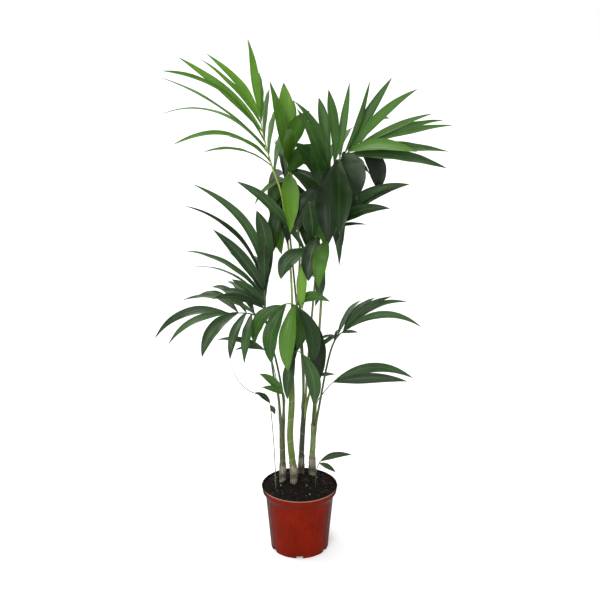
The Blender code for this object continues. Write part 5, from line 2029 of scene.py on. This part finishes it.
@dataclass
class PotPiece:
    """The round nursery pot: a tapered wall, a banded rim with a soft lip, six arched notches."""

    around: int = 192
    rim_band: float = 0.017
    wall: float = 0.002
    floor: float = 0.0025
    foot_share: float = 0.765
    shoulder_share: float = 0.895
    band_share: float = 0.975
    notches: int = 6
    notch_width: float = 0.017
    notch_height: float = 0.009
    notch_depth: float = 0.011
    facet: float = 0.00016
    facets: int = 24

    def profile(self) -> list[tuple[float, float]]:
        """The turned outline, outside from the foot to the lip and down inside to the floor.

        Returns:
            The radius and the height of each point.
        """
        rim = box_of("pot")[1].x
        top = box_of("pot")[1].z
        shares = (self.foot_share, self.shoulder_share, self.band_share)
        foot, shoulder, band = (share * rim for share in shares)
        under = top - self.rim_band
        outline = [(foot - 0.0022, 0.0), (foot - 0.0010, 0.0004), (foot - 0.0002, 0.0014)]
        outline += [(foot, 0.0030)]
        for i in range(1, 15):
            share = i / 15
            outline.append((foot + (shoulder - foot) * share, 0.0030 + (under - 0.0130) * share))
        for i in range(6):
            share = i / 5
            outline.append((shoulder + (band - shoulder) * share, under - 0.0098 + 0.0120 * share))
        for i in range(1, 6):
            share = i / 6
            out = band + (rim - 0.0008 - band) * share
            outline.append((out, under + 0.0022 + (self.rim_band - 0.0058) * share))
        outline += [(rim - 0.0007, top - 0.0032), (rim - 0.0001, top - 0.0026), (rim, top - 0.0016)]
        outline += [(rim - 0.0003, top - 0.0006), (rim - 0.0010, top), (rim - 0.0018, top - 0.0003)]
        outline += [(rim - 0.0024, top - 0.0012), (rim - 0.0025, top - 0.0030)]
        outline += [(band - self.wall, under + 0.0040), (shoulder - self.wall, under)]
        outline += [(foot - self.wall, self.floor + 0.0010), (foot - self.wall - 0.001, self.floor)]
        return outline

    def build(self, finish: Material) -> Piece:
        """Makes the pot and cuts its notches.

        Args:
            finish: its finish.

        Returns:
            The piece.
        """
        top = box_of("pot")[1].z
        rings = []
        marks = []
        for radius, height in self.profile():
            for _, turn in turns_of(self.around):
                flat = self.facet * cos(self.facets * turn) * eased(height, 0.004, 0.03)
                reach = radius + flat
                rings.append((reach * cos(turn), reach * sin(turn), height))
                marks.append((height / top, 0.0, 0.0))
        skin = Skin()
        skin.tube(rings, marks, (0.0, 0.0, 0.0), self.around)
        body = skin.made("pot_body", [finish], 40.0)
        helpers = [self.notch(turn - pi / 2, k) for k, turn in turns_of(self.notches)]
        for helper in helpers:
            cut = body.modifiers.new(helper.name, "BOOLEAN")
            cut.operation = "DIFFERENCE"
            cut.solver = "EXACT"
            cut.object = helper
        graph = bpy.context.evaluated_depsgraph_get()
        mesh = bpy.data.meshes.new_from_object(
            body.evaluated_get(graph), preserve_all_data_layers=True, depsgraph=graph
        )
        body.modifiers.clear()
        body.data = mesh
        self.mark(mesh, top)
        for helper in helpers:
            bpy.data.objects.remove(helper)
        mesh.set_sharp_from_angle(angle=radians(40))
        return settled(body, "pot_plastic", "pot")

    def mark(self, mesh: bpy.types.Mesh, top: float) -> None:
        """Marks each corner of the cut pot with its height and with whether it lies inside.

        Args:
            mesh: the cut pot.
            top: the height of its lip.
        """
        outline = self.profile()
        lip = max(range(len(outline)), key=lambda i: outline[i][1])
        radii, heights = zip(*outline[: lip + 1])
        for corner, mark in zip(mesh.vertices, mesh.attributes["lay"].data):
            x, y, z = corner.co
            within = hypot(x, y) < np.interp(z, heights, radii) - 0.0012
            over = z > top - 0.0004 and hypot(x, y) < radii[-1] - 0.0004
            mark.vector = (z / top, float(within or over), 0.0)

    def notch(self, turn: float, number: int) -> Piece:
        """An arched prism that runs in from outside the foot.

        Args:
            turn: its turn round the foot.
            number: its number.

        Returns:
            The prism, to be cut out.
        """
        half = self.notch_width / 2
        outline = [(-half, -0.004), (half, -0.004)]
        for k in range(15):
            t = pi * k / 14
            outline.append((half * cos(t), self.notch_height * (0.55 + 0.45 * sin(t))))
        out = Vector((cos(turn), sin(turn), 0))
        across = Vector((-sin(turn), cos(turn), 0))
        foot = self.foot_share * box_of("pot")[1].x
        points = []
        for reach in (foot - self.notch_depth, foot + 0.012):
            points += [out * reach + across * x + UP * z for x, z in outline]
        count = len(outline)
        faces = [(k, (k + 1) % count, count + (k + 1) % count, count + k) for k in range(count)]
        faces += [tuple(range(count - 1, -1, -1)), tuple(range(count, 2 * count))]
        mesh = bpy.data.meshes.new(f"notch_{number}")
        mesh.from_pydata([tuple(p) for p in points], [], faces)
        return placed(mesh.name, mesh)


@dataclass
class SoilPiece:
    """The potting soil: a lumpy mound of crumbs with bark, chips and a little pale grit."""

    rings: int = 120
    around: int = 300
    depth: float = 0.008
    crumbs: int = 900
    chips: int = 130
    grit: int = 18

    def height(self, x: float, y: float) -> float:
        """The surface's height, with lumps of three sizes.

        Args:
            x: the place to the right.
            y: the place to the back.

        Returns:
            The height of its surface there.
        """
        spot = Vector((x, y, 0.0))
        big = noise.noise(spot * 95) * 0.0017
        middle = noise.noise(spot * 230 + UP * 7) * 0.0013
        small = noise.noise(spot * 560 + UP * 3) * 0.0007
        return GROWTH.soil_height(x, y) + big + middle + small

    def edge(self) -> float:
        """The radius at which the soil meets the pot's wall."""
        return box_of("soil")[1].x

    def build(self, finish: Material) -> Piece:
        """Makes the mound, closed below.

        Args:
            finish: its finish.

        Returns:
            The piece.
        """
        reach = self.edge()
        level = GROWTH.level()
        rings = []
        skirt = ((reach - 0.0030, level - self.depth), (reach - 0.0012, level - 0.004))
        for radius, height in skirt:
            for _, turn in turns_of(self.around):
                rings.append((radius * cos(turn), radius * sin(turn), height))
        for i in range(self.rings):
            radius = reach * (1 - i / self.rings)
            for _, turn in turns_of(self.around):
                x, y = radius * cos(turn), radius * sin(turn)
                rings.append((x, y, self.height(x, y)))
        skin = Skin()
        skin.tube(rings, [(0.0, 0.0, 0.0)] * len(rings), (0.0, 0.0, 0.0), self.around)
        chance = seeded("soil crumbs")
        for _ in range(self.crumbs):
            x, y = self.spot(chance, 0.5)
            size = chance.uniform(0.0008, 0.0030) * chance.uniform(0.6, 1.2)
            sizes = (size, size * chance.uniform(0.6, 1.0), size * 0.7)
            self.lump_onto(skin, x, y, sizes, chance)
        return settled(skin.made("soil_mound", [finish], 80.0), "potting_soil", "soil")

    def spot(self, chance: Random, toward_edge: float) -> tuple[float, float]:
        """A chance place on the soil."""
        radius = (self.edge() - 0.003) * chance.random() ** toward_edge
        turn = chance.uniform(0, TURN)
        return radius * cos(turn), radius * sin(turn)

    def lump_onto(self, skin: Skin, x: float, y: float, sizes: Point, chance: Random) -> None:
        """Adds one irregular lump that lies half in the surface.

        Args:
            skin: the piece.
            x: its place to the right.
            y: its place to the back.
            sizes: half its length, width and height.
            chance: the source of its shape.
        """
        offset = Vector((chance.uniform(0, 90), chance.uniform(0, 90), chance.uniform(0, 90)))
        yaw = chance.uniform(0, TURN)
        tip = chance.uniform(-0.5, 0.5)
        centre = Vector((x, y, self.height(x, y) + 0.15 * sizes[2]))
        rows, around = 5, 8
        rings = []
        for i in range(rows):
            tilt = pi * (i + 0.5) / rows - pi / 2
            for _, turn in turns_of(around):
                way = Vector((cos(turn) * cos(tilt), sin(turn) * cos(tilt), sin(tilt)))
                way = way * (1 + 0.38 * noise.noise(way * 1.7 + offset))
                a, b = way.x * sizes[0], way.y * sizes[1]
                turned = (a * cos(yaw) - b * sin(yaw), a * sin(yaw) + b * cos(yaw))
                rings.append(centre + Vector((*turned, way.z * sizes[2] + tip * a)))
        mark = (chance.gauss(0.0, 0.5), 0.0, chance.random())
        skin.tube(rings, [(0.0, 0.0, 0.0)] * len(rings), mark, around)

    def build_bark(self, finish: Material) -> Piece:
        """Makes the bark and the chips that lie on the soil.

        Args:
            finish: their finish.

        Returns:
            The piece.
        """
        chance = seeded("bark")
        skin = Skin()
        for _ in range(self.chips):
            x, y = self.spot(chance, 0.55)
            long = chance.uniform(0.0020, 0.0062)
            sizes = (long, long * chance.uniform(0.25, 0.6), long * chance.uniform(0.12, 0.3))
            self.lump_onto(skin, x, y, sizes, chance)
        return settled(skin.made("soil_bark", [finish], 35.0), "potting_soil")

    def build_grit(self, finish: Material) -> Piece:
        """Makes the few pale grains on the soil.

        Args:
            finish: their finish.

        Returns:
            The piece.
        """
        chance = seeded("grit")
        skin = Skin()
        for _ in range(self.grit):
            x, y = self.spot(chance, 0.5)
            size = chance.uniform(0.0006, 0.0017)
            self.lump_onto(skin, x, y, (size, size * 0.85, size * 0.8), chance)
        return settled(skin.made("soil_grit", [finish], 60.0), "potting_soil")


@dataclass
class ThreadPiece:
    """The dry thread left on the lowest leaf at the left."""

    radius: float = 0.0011
    points: tuple[Point, ...] = (
        (-0.0730, -0.032, 0.4100), (-0.0860, -0.031, 0.4190), (-0.1030, -0.030, 0.4220),
        (-0.1260, -0.029, 0.4330), (-0.1450, -0.028, 0.4520), (-0.1580, -0.027, 0.4780),
        (-0.1640, -0.026, 0.5080),
    )

    def build(self, finish: Material) -> Piece:
        """Makes the thread.

        Args:
            finish: its finish.

        Returns:
            The piece.
        """
        skin = Skin()
        path, _ = smooth_path([GROWTH.grown(p) for p in self.points], 0.004)
        radii = [self.radius * (1 - 0.55 * i / len(path)) for i in range(len(path))]
        strand_onto(skin, path, radii, 8, 0, 0.1)
        return settled(skin.made("dry_threads", [finish]), "dry_sheath")


@dataclass
class Studio:
    """A pale floor, soft lights round the plant and the camera before it."""

    reach: float = 60.0
    sides: float = 0.9  # brightness at the left and the right, as a share of that behind
    eye: Point = (0.001, -2.2, 1.28)
    pitch: float = 74.0
    lens: float = 57.8

    def build(self, finish: Material) -> None:
        """Sets the floor, the lights, the surrounding light and the camera.

        Args:
            finish: the floor's finish.
        """
        self.floor(finish)
        self.lamp("key", (-0.9, -3.0, 2.3), (0.0, 0.0, 0.60), 1.3, 66.0)
        self.lamp("top", (-1.1, 0.5, 2.9), (0.0, 0.0, 0.85), 1.4, 46.0)
        self.surround()
        data = bpy.data.cameras.new("eye")
        data.lens = self.lens
        data.sensor_width = 36.0
        camera = placed("eye", data)
        camera.location = self.eye
        camera.rotation_euler = (radians(self.pitch), 0.0, 0.0)
        scene = bpy.context.scene
        scene.camera = camera
        scene.view_settings.view_transform = "Standard"
        scene.view_settings.look = "None"

    def floor(self, finish: Material) -> None:
        """Lays the floor as a wide finely divided round sheet.

        Args:
            finish: the floor's finish.
        """
        rings, around = 24, 96
        points = [(0.0, 0.0, 0.0)]
        for i in range(1, rings + 1):
            radius = self.reach * (i / rings) ** 3
            points += [(radius * cos(a), radius * sin(a), 0.0) for _, a in turns_of(around)]
        faces = [(0, 1 + k, 1 + (k + 1) % around) for k in range(around)]
        for low in range(1, 1 + (rings - 1) * around, around):
            for k in range(around):
                after = low + (k + 1) % around
                faces.append((low + k, low + around + k, after + around, after))
        mesh = bpy.data.meshes.new("floor")
        mesh.from_pydata(points, [], faces)
        mesh.materials.append(finish)
        placed("floor", mesh)

    def lamp(self, name: str, at: Point, toward: Point, size: float, power: float) -> None:
        """Hangs one soft square lamp.

        Args:
            name: its name.
            at: its place.
            toward: the point that it lights.
            size: its side.
            power: its power in watts.
        """
        data = bpy.data.lights.new(name, "AREA")
        data.shape = "SQUARE"
        data.size = size
        data.energy = power
        lamp = placed(name, data)
        lamp.location = at
        way = Vector(toward) - Vector(at)
        lamp.rotation_euler = way.to_track_quat("-Z", "Y").to_euler()

    def surround(self) -> None:
        """Sets a soft white surrounding light, a little dimmer at the left and the right."""
        g = Graph("studio", world=True)
        way = g.add("TexCoord", {}).outputs["Generated"]
        aside = g.math("ABSOLUTE", g.add("SeparateXYZ", {"Vector": way}).outputs["X"])
        strength = g.fade(aside, 0.35, 0.85, 1.0, self.sides)
        light = g.add("Background", {"Color": WHITE, "Strength": strength})
        bpy.context.scene.world = g.done(light.outputs[0])


# Painted light and shade: the bright finish is a lit copy of the leaf green, the dark one a shaded
# copy.
LEAF_FINISHES = {
    Tone.BRIGHT: LeafFinish(
        "bright_leaf", (0.030, 0.105, 0.010), (0.125, 0.290, 0.030), (0.42, 0.62, 0.07), 0.46
    ),
    Tone.LEAF: LeafFinish(
        "green_leaf", (0.017, 0.062, 0.009), (0.070, 0.175, 0.028), (0.26, 0.46, 0.06), 0.34
    ),
    Tone.DARK: LeafFinish(
        "dark_leaf", (0.006, 0.021, 0.006), (0.030, 0.080, 0.020), (0.12, 0.26, 0.04), 0.18
    ),
}
# Painted light and shade: lit, middle and shaded copies of one stalk colour.
STALK_FINISHES = {
    Tone.BRIGHT: StalkFinish("bright_stalk", (0.085, 0.135, 0.020), (0.30, 0.36, 0.075)),
    Tone.LEAF: StalkFinish("green_stalk", (0.050, 0.090, 0.018), (0.20, 0.27, 0.060)),
    Tone.DARK: StalkFinish("dark_stalk", (0.022, 0.045, 0.012), (0.085, 0.130, 0.035)),
}
STEM_FINISHES = {
    "stem_left": StemFinish(
        "olive_stem",
        foot=(0.40, 0.37, 0.30),
        deep=(0.022, 0.030, 0.010),
        fresh=(0.075, 0.090, 0.025),
        streak=(0.14, 0.14, 0.05),
    ),
    "stem_front": StemFinish(
        "fresh_stem",
        foot=(0.34, 0.31, 0.24),
        deep=(0.032, 0.058, 0.006),
        fresh=(0.100, 0.150, 0.016),
        streak=(0.22, 0.25, 0.05),
        green_from=0.17,
    ),
    "stem_back": StemFinish(
        "dark_stem",
        foot=(0.22, 0.19, 0.14),
        deep=(0.010, 0.016, 0.007),
        fresh=(0.030, 0.045, 0.015),
        streak=(0.060, 0.070, 0.030),
    ),
    "stem_right": StemFinish(
        "pale_stem",
        foot=(0.34, 0.35, 0.27),
        deep=(0.045, 0.070, 0.018),
        fresh=(0.170, 0.215, 0.070),
        streak=(0.52, 0.55, 0.36),
    ),
}
BARK = CrumbFinish("bark", (0.0085, 0.0060, 0.0042), (0.045, 0.030, 0.018))
GRIT = CrumbFinish("pale_grit", (0.30, 0.27, 0.22), (0.62, 0.60, 0.54))
THREAD = HuskFinish("dry_thread", (0.012, 0.012, 0.006), (0.060, 0.052, 0.030))


def seedling_foot(frond: Frond) -> Vector:
    """Where a small plant's stalk comes out of the soil."""
    first = GROWTH.grown(frond.points[0])
    return Vector((first.x, first.y, GROWTH.soil_height(first.x, first.y) + 0.001))


def main() -> None:
    """Builds every piece of the plant, its pot and the studio."""
    logging.basicConfig(level=logging.INFO, format="%(name)s: %(message)s")
    Studio().build(FloorFinish().material())
    PotPiece().build(PotFinish().material())
    soil = SoilPiece()
    soil.build(SoilFinish().material())
    soil.build_bark(BARK.material())
    soil.build_grit(GRIT.material())
    husk = HuskFinish().material()
    stems = {}
    for stem in STEMS:
        piece = StemPiece(stem)
        stems[stem.name] = piece
        piece.build(STEM_FINISHES[stem.name].material())
        HuskPiece(stem.name.replace("stem", "sheath"), piece).build(husk)
    leaves = {tone: finish.material() for tone, finish in LEAF_FINISHES.items()}
    stalks = {tone: finish.material() for tone, finish in STALK_FINISHES.items()}
    for frond in FRONDS:
        stem = stems.get(frond.stem)
        foot = stem.stalk_foot(frond.slot) if stem else seedling_foot(frond)
        crown = stem.crown()[0] if stem else None
        FrondPiece(frond, foot, crown).build(leaves[frond.tone], stalks[frond.tone])
    ThreadPiece().build(THREAD.material())


if __name__ == "__main__":
    main()
